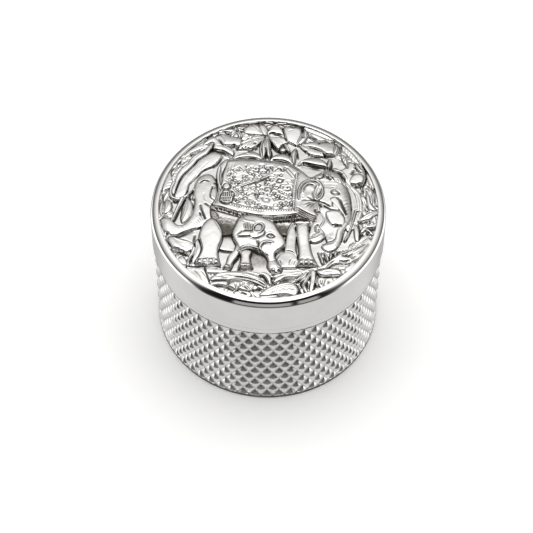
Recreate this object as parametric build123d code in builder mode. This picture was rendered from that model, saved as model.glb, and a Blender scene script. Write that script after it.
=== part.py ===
"""Round kumkum box: a knurled double-walled body and a slip-on lid with a struck relief plate.

Frame: +Z up, origin at the centre of the base's underside, the lid's picture upright
when seen from -Y. Millimetres.
"""

import os

from build123d import *

os.makedirs("parts", exist_ok=True)

# ---- driving dimensions -------------------------------------------------
crest_r = 22.0          # outside of the body, over the knurl's ridges
lid_r = 22.25           # outside of the lid band, a hair proud of the body
rim_z = 33.45           # top of the lid's rounded rim
seam_z = 25.0           # where the lid sits down on the body
knurl_z = 23.15         # top of the knurled part of the wall

base_t = 0.8            # base plate, its edge shows as a plain line under the knurl
base_r = 21.95
base_edge = 0.3         # rounding of the edge it stands on

neck_r = 21.05          # outside of the inner sleeve, which is also the lid's neck
neck_t = 1.0            # its wall
neck_top = 30.6
solder_gap = 0.02       # between the two sleeves
slip = 0.05             # radial clearance of the lid on the neck

rim_round = 1.36        # outer rounding of the lid's rim
lip_r = 20.70           # inside of the rim's lip, the picture's edge
lip_z = 32.2            # underside of the lip, where the struck plate stops
plate_r = 21.05         # struck plate and backing plate, inside the band
plate_seat = 31.5       # underside of the struck plate's flat border
picture_r = 20.65       # raised part of the struck plate
picture_edge_z = 33.0
picture_top_z = 34.3    # highest point of the relief
picture_t = 0.8         # sheet thickness of the struck plate
backing_z = 30.9        # underside of the backing plate

lead_in = 0.25          # chamfer inside the lid's mouth
edge_break = 0.12       # broken edges each side of the seam
neck_round = 0.3        # rounded lip of the neck

# ---- body ---------------------------------------------------------------
# Flat disc that closes the bottom; both sleeves stand on it.
with BuildPart() as base_plate:
    with BuildSketch(Plane.XY):
        Circle(base_r)
    extrude(amount=base_t)
    fillet(base_plate.edges().group_by(Axis.Z)[0], base_edge)
base_plate.part.label = "base_plate"
export_step(base_plate.part, "parts/base_plate.step")

# Outer sleeve at the size of the knurl's ridges, between base plate and shoulder.
with BuildPart() as knurled_sleeve:
    with BuildSketch(Plane.XY.offset(base_t)):
        Circle(crest_r)
        Circle(neck_r + solder_gap, mode=Mode.SUBTRACT)
    extrude(amount=knurl_z - base_t)
knurled_sleeve.part.label = "knurled_sleeve"
export_step(knurled_sleeve.part, "parts/knurled_sleeve.step")

# Plain ring above the knurl; the lid's edge sits on it.
with BuildPart() as shoulder_ring:
    with BuildSketch(Plane.XY.offset(knurl_z)):
        Circle(crest_r)
        Circle(neck_r + solder_gap, mode=Mode.SUBTRACT)
    extrude(amount=seam_z - knurl_z)
    outer_top = shoulder_ring.edges().group_by(Axis.Z)[-1].sort_by(SortBy.RADIUS)[-1]
    chamfer(outer_top, edge_break)
shoulder_ring.part.label = "shoulder_ring"
export_step(shoulder_ring.part, "parts/shoulder_ring.step")

# Smooth inner sleeve: the wall of the well, standing up above the shoulder as the neck.
with BuildPart() as inner_sleeve:
    with BuildSketch(Plane.XY.offset(base_t)):
        Circle(neck_r)
        Circle(neck_r - neck_t, mode=Mode.SUBTRACT)
    extrude(amount=neck_top - base_t)
    fillet(inner_sleeve.edges().group_by(Axis.Z)[-1], neck_round)
inner_sleeve.part.label = "inner_sleeve"
export_step(inner_sleeve.part, "parts/inner_sleeve.step")

# ---- lid ----------------------------------------------------------------
# Polished band with a rounded rim and an inward lip that holds the struck plate.
band_in = neck_r + slip
with BuildPart() as lid_band:
    with BuildSketch(Plane.XZ):
        with BuildLine():
            Polyline(
                (band_in + lead_in, seam_z),
                (lid_r - edge_break, seam_z),
                (lid_r, seam_z + edge_break),
                (lid_r, rim_z - rim_round),
            )
            RadiusArc(
                (lid_r, rim_z - rim_round), (lid_r - rim_round, rim_z), -rim_round
            )
            Polyline(
                (lid_r - rim_round, rim_z),
                (lip_r + 0.1, rim_z),
                (lip_r, rim_z - 0.1),
                (lip_r, lip_z),
                (band_in, lip_z),
                (band_in, seam_z + lead_in),
                (band_in + lead_in, seam_z),
            )
        make_face()
    revolve(axis=Axis.Z)
lid_band.part.label = "lid_band"
export_step(lid_band.part, "parts/lid_band.step")

# Struck plate: flat border under the lip, and the raised picture inside it, hollow behind.
# The picture's ground is a shallow cap of a sphere centred on the axis.
cap_rise = picture_top_z - picture_edge_z
cap_r = (picture_r**2 + cap_rise**2) / (2 * cap_rise)
cap_z = picture_top_z - cap_r
hollow_r = picture_r - picture_t
hollow_edge_z = cap_z + ((cap_r - picture_t) ** 2 - hollow_r**2) ** 0.5
with BuildPart() as relief_plate:
    with BuildSketch(Plane.XY.offset(plate_seat)):
        Circle(plate_r)
    extrude(amount=lip_z - plate_seat)
    with BuildSketch(Plane.XY.offset(lip_z)):
        Circle(picture_r)
    extrude(amount=picture_top_z + 1.0 - lip_z)
    with BuildSketch(Plane.XZ):
        with BuildLine():
            RadiusArc((0, picture_top_z), (picture_r + 1.0, cap_z + (cap_r**2 - (picture_r + 1.0) ** 2) ** 0.5), cap_r)
            Polyline(
                (picture_r + 1.0, cap_z + (cap_r**2 - (picture_r + 1.0) ** 2) ** 0.5),
                (picture_r + 1.0, picture_top_z + 2.0),
                (0, picture_top_z + 2.0),
                (0, picture_top_z),
            )
        make_face()
    revolve(axis=Axis.Z, mode=Mode.SUBTRACT)
    with BuildSketch(Plane.XZ):
        with BuildLine():
            RadiusArc((0, picture_top_z - picture_t), (hollow_r, hollow_edge_z), cap_r - picture_t)
            Polyline(
                (hollow_r, hollow_edge_z),
                (hollow_r, plate_seat),
                (0, plate_seat),
                (0, picture_top_z - picture_t),
            )
        make_face()
    revolve(axis=Axis.Z, mode=Mode.SUBTRACT)
relief_plate.part.label = "relief_plate"
export_step(relief_plate.part, "parts/relief_plate.step")

# Plain disc that closes the hollow back of the picture: the ceiling of the well.
with BuildPart() as lid_backing:
    with BuildSketch(Plane.XY.offset(backing_z)):
        Circle(plate_r)
    extrude(amount=plate_seat - backing_z)
lid_backing.part.label = "lid_backing"
export_step(lid_backing.part, "parts/lid_backing.step")
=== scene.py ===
"""Looks of a round silver kumkum box: a knurled body with a push-on lid that carries a struck picture of elephants among leaves."""

import math

import bpy
import numpy as np
from mathutils import Matrix, Vector


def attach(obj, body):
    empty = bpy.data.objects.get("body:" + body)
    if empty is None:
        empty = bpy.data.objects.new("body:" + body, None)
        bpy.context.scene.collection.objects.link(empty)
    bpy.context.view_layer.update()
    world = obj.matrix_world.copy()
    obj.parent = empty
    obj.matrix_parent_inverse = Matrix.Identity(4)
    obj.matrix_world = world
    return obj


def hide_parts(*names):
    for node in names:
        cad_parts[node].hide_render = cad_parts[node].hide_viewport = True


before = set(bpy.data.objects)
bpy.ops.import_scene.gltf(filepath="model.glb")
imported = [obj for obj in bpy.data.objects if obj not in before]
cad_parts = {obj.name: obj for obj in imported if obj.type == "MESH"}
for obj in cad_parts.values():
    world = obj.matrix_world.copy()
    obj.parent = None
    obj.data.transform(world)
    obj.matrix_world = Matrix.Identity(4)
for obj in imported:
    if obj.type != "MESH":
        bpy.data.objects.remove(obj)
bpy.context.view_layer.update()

# ---- sizes, in millimetres, as in the CAD --------------------------------
CREST_R = 22.0  # knurl crests and plain shoulder
LID_R = 22.25
RIM_Z = 33.45
SEAM_Z = 25.0
KNURL_Z = 23.15
BASE_T = 0.8
BASE_R = 21.95
BASE_EDGE = 0.3
NECK_R = 21.05
NECK_T = 1.0
NECK_TOP = 30.6
SOLDER_GAP = 0.02
SLIP = 0.05
RIM_ROUND = 1.36
LIP_R = 20.70
LIP_Z = 32.2
PLATE_R = 21.05
PLATE_SEAT = 31.5
PICTURE_R = 20.65
PICTURE_FLOOR = 32.62  # ground of the picture at its edge
PICTURE_DOME = 0.22  # how much its middle stands higher
PICTURE_TOP = 34.3
HOLLOW_R = 19.85
BACKING_Z = 30.9
LEAD_IN = 0.25
EDGE_BREAK = 0.12
NECK_ROUND = 0.3

# ---- struck picture as a height field -----------------------------------
# Drawing units: 32.47 to the millimetre, origin at the lid's centre shifted to (750, 750),
# u to the right, v towards the front.
UNIT = 32.47
HALF = 20.75
N = 640
STEP = 2 * HALF / (N - 1)
AX = np.linspace(-HALF, HALF, N)
GX, GY = np.meshgrid(AX, AX)


def mm(pts):
    p = np.asarray(pts, float)
    return np.stack([(p[:, 0] - 750) / UNIT, (750 - p[:, 1]) / UNIT], 1)


def smooth_loop(pts, k=6):
    p = np.asarray(pts, float)
    a, b, c, d = np.roll(p, 1, 0), p, np.roll(p, -1, 0), np.roll(p, -2, 0)
    t = np.linspace(0, 1, k, endpoint=False)[None, :, None]
    a, b, c, d = (q[:, None, :] for q in (a, b, c, d))
    out = 0.5 * (2 * b + (c - a) * t + (2 * a - 5 * b + 4 * c - d) * t**2 + (3 * b - a - 3 * c + d) * t**3)
    return out.reshape(-1, 2)


def smooth_line(pts, k=6):
    p = np.asarray(pts, float)
    if len(p) == 2:
        t = np.linspace(0, 1, k + 1)[:, None]
        return p[0] * (1 - t) + p[1] * t
    q = np.vstack([2 * p[0] - p[1], p, 2 * p[-1] - p[-2]])
    a, b, c, d = (q[i : len(q) - 3 + i, None, :] for i in range(4))
    t = np.linspace(0, 1, k, endpoint=False)[None, :, None]
    out = 0.5 * (2 * b + (c - a) * t + (2 * a - 5 * b + 4 * c - d) * t**2 + (3 * b - a - 3 * c + d) * t**3)
    return np.vstack([out.reshape(-1, 2), p[-1]])


def window(pts, margin):
    lo, hi = pts.min(0) - margin, pts.max(0) + margin
    i = np.clip(((lo + HALF) / STEP).astype(int), 0, N - 1)
    j = np.clip(((hi + HALF) / STEP).astype(int) + 2, 1, N)
    return slice(i[1], max(j[1], i[1] + 1)), slice(i[0], max(j[0], i[0] + 1))


def inside_distance(loop, sl):
    """Distance from a loop's edge, positive inside it."""
    px, py = GX[sl], GY[sl]
    best = np.full(px.shape, 1e9)
    ins = np.zeros(px.shape, bool)
    for (x0, y0), (x1, y1) in zip(loop, np.roll(loop, -1, 0)):
        ex, ey = x1 - x0, y1 - y0
        wx, wy = px - x0, py - y0
        t = np.clip((wx * ex + wy * ey) / (ex * ex + ey * ey + 1e-12), 0, 1)
        np.minimum(best, (wx - t * ex) ** 2 + (wy - t * ey) ** 2, out=best)
        if y0 != y1:
            cross = (y0 > py) != (y1 > py)
            ins ^= cross & (px < ex * (py - y0) / ey + x0)
    d = np.sqrt(best)
    return np.where(ins, d, -d)


def line_distance(path, sl):
    """Distance to a line, how far along it (0 to 1) and which side (+1 is left of its way)."""
    px, py = GX[sl], GY[sl]
    best = np.full(px.shape, 1e9)
    along = np.zeros(px.shape)
    side = np.ones(px.shape)
    seg = np.hypot(*np.diff(path, axis=0).T)
    at = np.concatenate([[0], np.cumsum(seg)])
    total = at[-1]
    for k, ((x0, y0), (x1, y1)) in enumerate(zip(path[:-1], path[1:])):
        ex, ey = x1 - x0, y1 - y0
        wx, wy = px - x0, py - y0
        t = np.clip((wx * ex + wy * ey) / (ex * ex + ey * ey + 1e-12), 0, 1)
        d2 = (wx - t * ex) ** 2 + (wy - t * ey) ** 2
        near = d2 < best
        best = np.where(near, d2, best)
        along = np.where(near, (at[k] + t * seg[k]) / total, along)
        side = np.where(near, np.sign(ex * wy - ey * wx), side)
    return np.sqrt(best), along, side


def rounded(d, w):
    """Quarter-round edge profile, 0 at the edge and 1 from w inwards."""
    q = np.clip(d / w, 0, 1)
    return np.sqrt(np.clip(1 - (1 - q) ** 2, 0, 1))


def inflated(inside):
    """Round swelling of a flat outline, as a soap film under pressure takes it: a strip gets a half-round section."""
    film = None
    for f in (8, 4, 2, 1):
        m = inside[::f, ::f].astype(float)
        if min(m.shape) < 4:
            continue
        if film is None:
            film = np.zeros(m.shape)
        else:
            film = np.repeat(np.repeat(film, 2, 0), 2, 1)[: m.shape[0], : m.shape[1]]
            film = np.pad(film, [(0, m.shape[0] - film.shape[0]), (0, m.shape[1] - film.shape[1])])
        a = np.pad(film * m, 1)
        push = (f * STEP) ** 2
        for _ in range(60 if f > 1 else 36):
            a[1:-1, 1:-1] = 0.25 * (a[:-2, 1:-1] + a[2:, 1:-1] + a[1:-1, :-2] + a[1:-1, 2:] + push) * m
        film = a[1:-1, 1:-1]
    return np.sqrt(np.maximum(2 * film, 0))


class Relief:
    def __init__(self):
        self.h = np.zeros((N, N))  # forms
        self.d = np.zeros((N, N))  # detail chased into them
        self.line = np.zeros((N, N))  # oxide in the chased lines
        self.tone = np.zeros((N, N))  # painted shade and oxide, put on on purpose

    def ink(self, sl, a):
        self.line[sl] = np.maximum(self.line[sl], a)

    def paint_shade_and_oxide(self, pts, amount, soft=12, k=6):
        """Paints a darker colour inside a loop (a lighter one below 0): painted shade, and oxide in places."""
        loop = mm(smooth_loop(pts, k))
        sl = window(loop, soft / UNIT)
        d = inside_distance(loop, sl)
        s = np.clip(d / (soft / UNIT) * 0.5 + 0.5, 0, 1)
        self.tone[sl] += amount * s * s * (3 - 2 * s)

    def stipple(self, pts, count, r, rise, seed, k=6):
        """Scattered small punch marks inside a loop."""
        loop = mm(smooth_loop(pts, k))
        sl = window(loop, 0.1)
        d = inside_distance(loop, sl)
        rng = np.random.default_rng(seed)
        ys, xs = np.nonzero(d > 0.12)
        x, y = GX[sl], GY[sl]
        for i in rng.integers(0, len(ys), count):
            u, v = 750 + UNIT * x[ys[i], xs[i]], 750 - UNIT * y[ys[i], xs[i]]
            self.bump(u, v, r, rise * rng.uniform(0.5, 1.0))

    def lay(self, sl, d, h, cut=0.16, reach=0.075, line=0.42):
        """Lays a shape of height h over what is there, with a chased line round it."""
        under = self.h[sl]
        edge = np.clip(d / (1.6 * STEP) + 0.5, 0, 1)
        under = under - cut * np.exp(-((np.minimum(d, 0) / reach) ** 2)) * np.clip(under / 0.25 + 0.6, 0, 1)
        self.h[sl] = under * (1 - edge) + h * edge
        for a in (self.d, self.line, self.tone):
            a[sl] *= 1 - edge
        self.ink(sl, line * np.exp(-(((d + 0.06) / 0.075) ** 2)))

    def patch(self, pts, rise, w=0.3, line=0.6, k=6, sharp=False):
        """A thin layer on the form below it."""
        loop = mm(pts if sharp else smooth_loop(pts, k))
        sl = window(loop, 0.4)
        d = inside_distance(loop, sl)
        self.h[sl] += rise * rounded(d, w)
        edge = np.clip(d / (1.6 * STEP) + 0.5, 0, 1)
        for a in (self.d, self.line):
            a[sl] *= 1 - edge
        self.ink(sl, line * np.exp(-(((d + 0.06) / 0.085) ** 2)))

    def shape(self, pts, base, rise, w, k=6, cut=0.16, reach=0.075, sharp=False, tilt=(0, 0), line=0.34):
        loop = mm(pts if sharp else smooth_loop(pts, k))
        sl = window(loop, 0.6)
        d = inside_distance(loop, sl)
        c = loop.mean(0)
        q = inflated(d > 0) / (0.95 * w)
        h = 0.65 * base + (rise + 0.35 * base) * 1.35 * q / np.sqrt(1 + q * q) + tilt[0] * (GX[sl] - c[0]) + tilt[1] * (GY[sl] - c[1])
        self.lay(sl, d, h, cut, reach, line)

    def tube(self, pts, r0, r1, base, rise, k=6, cut=0.14, reach=0.075, power=1.0, mid=None, line=0.36):
        """A tapering round limb along a line; radii in drawing units."""
        path = mm(smooth_line(pts, k))
        r0, r1 = r0 / UNIT, r1 / UNIT
        rm = mid / UNIT if mid else (r0 + r1) / 2
        sl = window(path, max(r0, r1, rm) + 0.5)
        dist, s, _ = line_distance(path, sl)
        r = r0 * (1 - s) * (1 - 2 * s) + 4 * rm * s * (1 - s) + r1 * s * (2 * s - 1)
        r = np.maximum(r, 0.02)
        d = r - dist
        h = base + rise * np.sqrt(np.clip(1 - np.clip(dist / r, 0, 1) ** 2, 0, 1)) * (r / max(r0, r1, rm)) ** power
        self.lay(sl, d, h, cut, reach, line)

    def leaf(self, pts, width, base, rise, veins=0, rib=0.06, fat=1.0, twist=0.0, cut=0.14, at=0.45, fold=0.0, k=8, line=0.30):
        """A pointed leaf along its midrib. twist lifts its left half, fold makes a valley of the rib."""
        path = mm(smooth_line(pts, k))
        w = width / UNIT
        sl = window(path, w + 0.5)
        dist, s, side = line_distance(path, sl)
        p = at / (1 - at)
        prof = (s**p * (1 - s)) / (at**p * (1 - at) + 1e-9)
        half = w * np.clip(prof, 0, None) ** (0.62 * fat)
        d = np.minimum(half - dist, 0.6)
        q = np.clip(dist / np.maximum(half, 1e-3), 0, 1)
        h = base + 1.3 * rise * (1 - q**1.8) ** 0.7 * (0.5 + 0.5 * np.clip(prof, 0, 1))
        h = h - fold * np.exp(-((dist / (0.35 * w)) ** 2)) + 1.7 * twist * side * q
        h = h + rib * np.exp(-((dist / 0.075) ** 2)) * (1 - s) ** 0.5 - 0.10 * np.exp(-(((dist - 0.17) / 0.07) ** 2)) * (1 - s) ** 0.5 * np.clip(w / 0.7 - 0.4, 0, 1)
        if veins:
            ph = s * veins - 0.9 * dist / max(w, 1e-3)
            h = h - 0.085 * (0.5 + 0.5 * np.cos(2 * np.pi * ph)) ** 4 * np.clip(q * 3, 0, 1) * np.clip((1 - q) * 4, 0, 1)
        # beyond the ends the line's distance is to its tip, which has no width
        d = np.where(half > 0.01, d, -dist)
        self.lay(sl, d, h, cut, 0.07, line)

    def along(self, pts, r, k, closed, taper):
        path = smooth_loop(pts, k) if closed else smooth_line(pts, k)
        path = mm(np.vstack([path, path[:1]]) if closed else path)
        sl = window(path, 3 * r)
        dist, s, _ = line_distance(path, sl)
        return sl, dist / r, np.sqrt(np.clip(4 * s * (1 - s), 0, 1)) if taper else 1.0

    def ridge(self, pts, r, rise, k=6, closed=False, taper=False):
        sl, q, amp = self.along(pts, r / UNIT, k, closed, taper)
        self.d[sl] += rise * amp * np.exp(-(q**2))

    def groove(self, pts, r, depth, k=6, closed=False, taper=True):
        sl, q, amp = self.along(pts, r / UNIT, k, closed, taper and not closed)
        self.d[sl] -= 0.6 * depth * amp * np.exp(-(q**2))
        self.ink(sl, min(2.8 * depth, 0.95) * amp * np.exp(-((1.3 * q) ** 2)))

    def bump(self, u, v, r, rise, ry=None, turn=0.0):
        c = mm([(u, v)])[0]
        rx, ry = r / UNIT, (ry or r) / UNIT
        sl = window(c[None], 3 * max(rx, ry))
        x, y = GX[sl] - c[0], GY[sl] - c[1]
        t = np.radians(turn)
        a, b = x * np.cos(t) + y * np.sin(t), -x * np.sin(t) + y * np.cos(t)
        prof = np.exp(-((a / rx) ** 2) - (b / ry) ** 2)
        if r > 16:
            self.h[sl] += rise * prof
        elif rise > 0:
            self.d[sl] += rise * prof
        else:
            self.d[sl] += 0.6 * rise * prof
            self.ink(sl, min(-2.8 * rise, 0.95) * prof)

    def nicks(self, pts, gap, r, depth, seed, k=6):
        """Small uneven notches along an edge."""
        path = smooth_line(pts, k)
        at = np.concatenate([[0], np.cumsum(np.hypot(*np.diff(path, axis=0).T))])
        rng = np.random.default_rng(seed)
        for s in np.arange(0.5 * gap, at[-1], gap):
            s = s + rng.uniform(-0.3, 0.3) * gap
            u, v = np.interp(s, at, path[:, 0]), np.interp(s, at, path[:, 1])
            self.bump(u + rng.uniform(-2, 2), v + rng.uniform(-5, 3), r * rng.uniform(0.7, 1.3), -depth * rng.uniform(0.5, 1.0), r * rng.uniform(1.0, 2.2))

    def bead(self, u, v, r, rise):
        c = mm([(u, v)])[0]
        r = r / UNIT
        sl = window(c[None], 1.6 * r)
        d = np.hypot(GX[sl] - c[0], GY[sl] - c[1])
        self.d[sl] += rise * np.sqrt(np.clip(1 - (d / r) ** 2, 0, 1)) - 0.35 * rise * np.exp(-(((d - 1.15 * r) / (0.3 * r)) ** 2))
        self.ink(sl, 0.5 * np.exp(-(((d - 1.2 * r) / (0.35 * r)) ** 2)))

    def beads(self, pts, gap, r, rise, k=8):
        path = smooth_line(pts, k)
        at = np.concatenate([[0], np.cumsum(np.hypot(*np.diff(path, axis=0).T))])
        n = max(2, int(at[-1] / gap) + 1)
        for s in np.linspace(0, at[-1], n):
            self.bead(np.interp(s, at, path[:, 0]), np.interp(s, at, path[:, 1]), r, rise)


def drafted(h, slope):
    """Walls that face the front get a draft, as a die needs, so that none is steeper than slope."""
    h = h.copy()
    for i in range(N - 2, -1, -1):
        h[i] = np.maximum(h[i], h[i + 1] - slope * STEP)
    return h


def blurred(a, sigma):
    """Gaussian blur by separable sums, sigma in cells."""
    n = int(3 * sigma + 1)
    w = np.exp(-0.5 * (np.arange(-n, n + 1) / sigma) ** 2)
    w /= w.sum()
    for axis in (0, 1):
        pad = [(n, n) if i == axis else (0, 0) for i in (0, 1)]
        b = np.pad(a, pad, mode="edge")
        a = sum(w[i] * (b[i : i + a.shape[0]] if axis == 0 else b[:, i : i + a.shape[1]]) for i in range(2 * n + 1))
    return a


def foliage(R):
    L, S, G, D, P = R.leaf, R.shape, R.groove, R.bump, R.patch

    def K(pts, r=6, depth=0.45, taper=True):
        G(pts, r, depth, taper=taper)

    # fill: low leaves all round the rim, under everything else
    rng = np.random.default_rng(7)
    for k in range(50):
        a = 2 * np.pi * k / 50 + rng.uniform(-0.04, 0.04)
        r0, r1 = rng.uniform(545, 590), rng.uniform(640, 668)
        sweep = rng.choice([-1, 1]) * rng.uniform(0.10, 0.22)
        p0 = (750 + r0 * np.cos(a - sweep), 750 + r0 * np.sin(a - sweep))
        p1 = (750 + r1 * np.cos(a + sweep), 750 + r1 * np.sin(a + sweep))
        pm = (750 + 0.5 * (r0 + r1) * np.cos(a) * 1.02, 750 + 0.5 * (r0 + r1) * np.sin(a) * 1.02)
        L([p0, pm, p1], rng.uniform(17, 28), 0.04, 0.24, veins=rng.integers(4, 8), twist=rng.uniform(-0.06, 0.06), line=0.22)

    # ---- upper left: rim leaf, two blades with their stem, a curled leaf
    S([(94, 640), (102, 560), (132, 470), (182, 385), (250, 302), (330, 237), (378, 208), (398, 218), (372, 262), (330, 292), (270, 326), (216, 372), (186, 410), (162, 450), (152, 520), (166, 560), (150, 602), (116, 614)], 0.16, 0.28, 1.0, line=0.3)
    for k in range(22):
        a = 3.36 + 0.042 * k
        G([(750 + q * np.cos(a + w), 750 + q * np.sin(a + w)) for q, w in ((652, 0.0), (630, 0.014), (606, 0.04))], 2.8, 0.10)
    K([(262, 336), (285, 324), (300, 320), (322, 310), (354, 298)], 8, 0.45)
    R.nicks([(262, 336), (300, 320), (354, 298)], 14, 7, 0.4, 2)
    K([(224, 352), (210, 364), (214, 374)], 6, 0.30)
    K([(204, 386), (194, 402), (182, 404)], 7, 0.40)
    K([(166, 432), (150, 464), (147, 484), (153, 510)], 5, 0.40)
    K([(112, 616), (132, 611), (158, 599)], 4.5, 0.34, False)
    K([(94, 616), (98, 650), (106, 704)], 5, 0.36, False)
    S([(262, 572), (290, 540), (318, 502), (346, 468), (400, 438), (430, 412), (450, 382), (462, 352), (440, 332), (404, 318), (370, 338), (350, 354), (312, 386), (290, 420), (250, 470), (222, 505), (202, 550), (186, 600), (172, 650), (176, 676), (204, 684), (232, 668), (250, 630)], 0.34, 0.40, 1.2, line=0.4)
    G([(266, 568), (292, 530), (312, 490), (340, 446), (372, 404)], 3.6, 0.14)
    G([(196, 640), (214, 580), (250, 510), (300, 440)], 3, 0.06)
    K([(462, 350), (450, 380), (430, 411), (404, 437)], 4, 0.32, False)
    R.nicks([(440, 396), (420, 424), (400, 440)], 10, 4, 0.2, 5)
    S([(168, 560), (180, 500), (206, 448), (246, 408), (268, 366), (300, 332), (350, 298), (384, 252), (398, 246), (404, 262), (396, 290), (370, 334), (348, 352), (310, 384), (288, 418), (248, 468), (220, 504), (198, 550), (184, 600), (172, 648), (158, 640), (156, 600)], 0.40, 0.42, 1.0)
    G([(382, 262), (340, 318), (290, 372), (240, 440), (200, 520)], 3, 0.06)
    K([(404, 260), (396, 290), (371, 335), (350, 353), (311, 386), (290, 420), (250, 470), (220, 506), (201, 550), (186, 600), (172, 652)], 5, 0.36, False)
    R.tube([(166, 560), (151, 604), (148, 648), (164, 680), (202, 690), (242, 670), (270, 632), (288, 614), (299, 638), (290, 684)], 10, 8, 0.50, 0.32)
    K([(285, 630), (270, 646), (263, 664), (267, 684)], 6.5, 0.5, False)
    K([(162, 698), (180, 707), (198, 702)], 7, 0.45)
    K([(246, 688), (231, 712), (222, 730)], 5, 0.36)
    S([(336, 262), (368, 206), (396, 190), (424, 206), (446, 238), (464, 264), (500, 280), (530, 308), (534, 336), (514, 366), (498, 346), (466, 320), (430, 310), (402, 300), (406, 262), (394, 244), (362, 262)], 0.42, 0.40, 0.9)
    K([(362, 200), (390, 186), (416, 199), (440, 226), (464, 264)], 6, 0.45, False)
    K([(400, 300), (430, 313), (464, 320), (498, 341), (514, 354)], 9, 0.55, False)
    K([(510, 366), (498, 368), (470, 360)], 4, 0.3)
    G([(420, 268), (470, 282), (516, 314)], 3, 0.10)

    # ---- top: three stars of leaves and the mounds between them
    S([(408, 196), (440, 168), (500, 178), (536, 196), (570, 200), (584, 230), (570, 274), (530, 272), (490, 268), (466, 262), (440, 226)], 0.36, 0.5, 1.2, tilt=(0, -0.12))
    G([(440, 176), (462, 206), (474, 250)], 3.6, 0.16)
    D(533, 270, 13, -0.5, 10)
    D(552, 289, 15, -0.5, 8)
    D(568, 280, 7, -0.4, 9)
    K([(478, 270), (500, 276), (530, 286)], 5, 0.36)
    for q, w in (((520, 98), 11), ((430, 158), 18), ((508, 198), 12), ((580, 206), 12), ((652, 108), 20)):
        L([(548, 150), (0.5 * (548 + q[0]), 0.5 * (150 + q[1]) - 3), q], w, 0.50, 0.32)
    K([(436, 160), (468, 164), (500, 172)], 8, 0.5)
    D(494, 174, 13, -0.5, 9)
    K([(508, 194), (526, 172), (546, 152)], 6.5, 0.5, False)
    K([(551, 152), (566, 176), (577, 206)], 6, 0.5, False)
    D(527, 111, 8, -0.5, 12)
    K([(556, 124), (600, 114), (642, 106)], 5, 0.42)
    K([(570, 142), (594, 140), (618, 158)], 9, 0.5)
    S([(618, 96), (660, 84), (690, 92), (708, 130), (730, 178), (690, 182), (650, 178), (610, 174), (592, 150)], 0.40, 0.34, 1.0)
    G([(640, 100), (672, 130), (700, 170)], 3, 0.10)
    K([(626, 88), (656, 87), (686, 80)], 7, 0.5)
    K([(684, 92), (702, 132), (727, 178)], 5, 0.38, False)
    S([(580, 254), (590, 222), (622, 196), (668, 183), (722, 194), (702, 226), (660, 246), (640, 262)], 0.44, 0.42, 1.0)
    K([(592, 234), (616, 221), (644, 206)], 6.5, 0.5)
    G([(630, 206), (660, 190), (694, 187)], 3.4, 0.2)
    S([(560, 298), (576, 264), (620, 234), (680, 218), (724, 202), (702, 240), (678, 266), (660, 292), (630, 302), (600, 294)], 0.46, 0.30, 0.8)
    for k in range(6):
        G([(690 - 22 * k, 226 + 8 * k), (672 - 20 * k, 250 + 8 * k), (662 - 18 * k, 276 + 3 * k)], 2.8, 0.10)
    for u, v in ((585, 291), (603, 284), (621, 292)):
        D(u, v, 7, -0.45, 6)
    K([(626, 304), (644, 300), (658, 290), (670, 282)], 8, 0.55, False)
    # star at the top
    L([(735, 190), (718, 140), (692, 82)], 26, 0.54, 0.34)
    G([(728, 176), (714, 130), (704, 92)], 2.8, 0.12)
    S([(742, 184), (752, 130), (782, 90), (808, 96), (838, 130), (850, 182), (852, 200), (812, 178), (772, 174)], 0.48, 0.40, 1.1)
    K([(744, 182), (768, 170), (794, 172)], 8, 0.55)
    G([(796, 173), (826, 179), (854, 198)], 4, 0.30)
    S([(744, 196), (800, 198), (850, 208), (868, 250), (850, 258), (822, 280), (804, 304), (784, 280), (770, 250), (756, 224)], 0.48, 0.28, 0.8)
    for k in range(6):
        G([(772 + 14 * k, 206 + 4 * k), (782 + 12 * k, 230 + 4 * k), (784 + 9 * k, 258 + 3 * k)], 2.8, 0.10)
    K([(766, 248), (784, 279), (806, 306)], 8, 0.55, False)
    R.nicks([(766, 248), (806, 306)], 12, 6, 0.4, 7)
    K([(744, 204), (757, 226), (770, 252)], 6, 0.5, False)
    K([(736, 200), (718, 222), (700, 242), (678, 268)], 5.5, 0.45, False)
    D(664, 252, 9, -0.3, 8)
    S([(816, 306), (828, 288), (846, 286), (858, 304), (850, 322), (828, 324)], 0.52, 0.3, 0.5)
    K([(813, 302), (828, 325), (854, 320)], 6, 0.5, False)
    G([(822, 278), (838, 262), (852, 266)], 4.4, 0.32)
    S([(528, 374), (558, 340), (606, 320), (656, 316), (692, 336), (708, 376), (690, 378), (620, 370), (560, 374)], 0.36, 0.56, 1.15, tilt=(0, -0.14))
    K([(544, 375), (600, 370), (650, 371), (694, 382)], 7.5, 0.55)
    G([(616, 342), (630, 350)], 3.4, 0.2, taper=False)
    S([(760, 388), (778, 350), (812, 332), (862, 336), (892, 366), (902, 418), (880, 410), (820, 390)], 0.36, 0.56, 1.15, tilt=(0, -0.14))
    K([(760, 385), (800, 388), (840, 396), (886, 414)], 9, 0.6)
    L([(740, 196), (716, 276), (712, 376)], 22, 0.62, 0.40, twist=0.10)
    L([(744, 210), (746, 290), (754, 370)], 18, 0.60, 0.36, twist=-0.06)
    K([(704, 288), (706, 330), (714, 376)], 4.6, 0.42, False)
    K([(728, 280), (736, 330), (730, 374)], 4.2, 0.36)
    K([(762, 296), (767, 344), (756, 376)], 5.4, 0.42)
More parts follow.
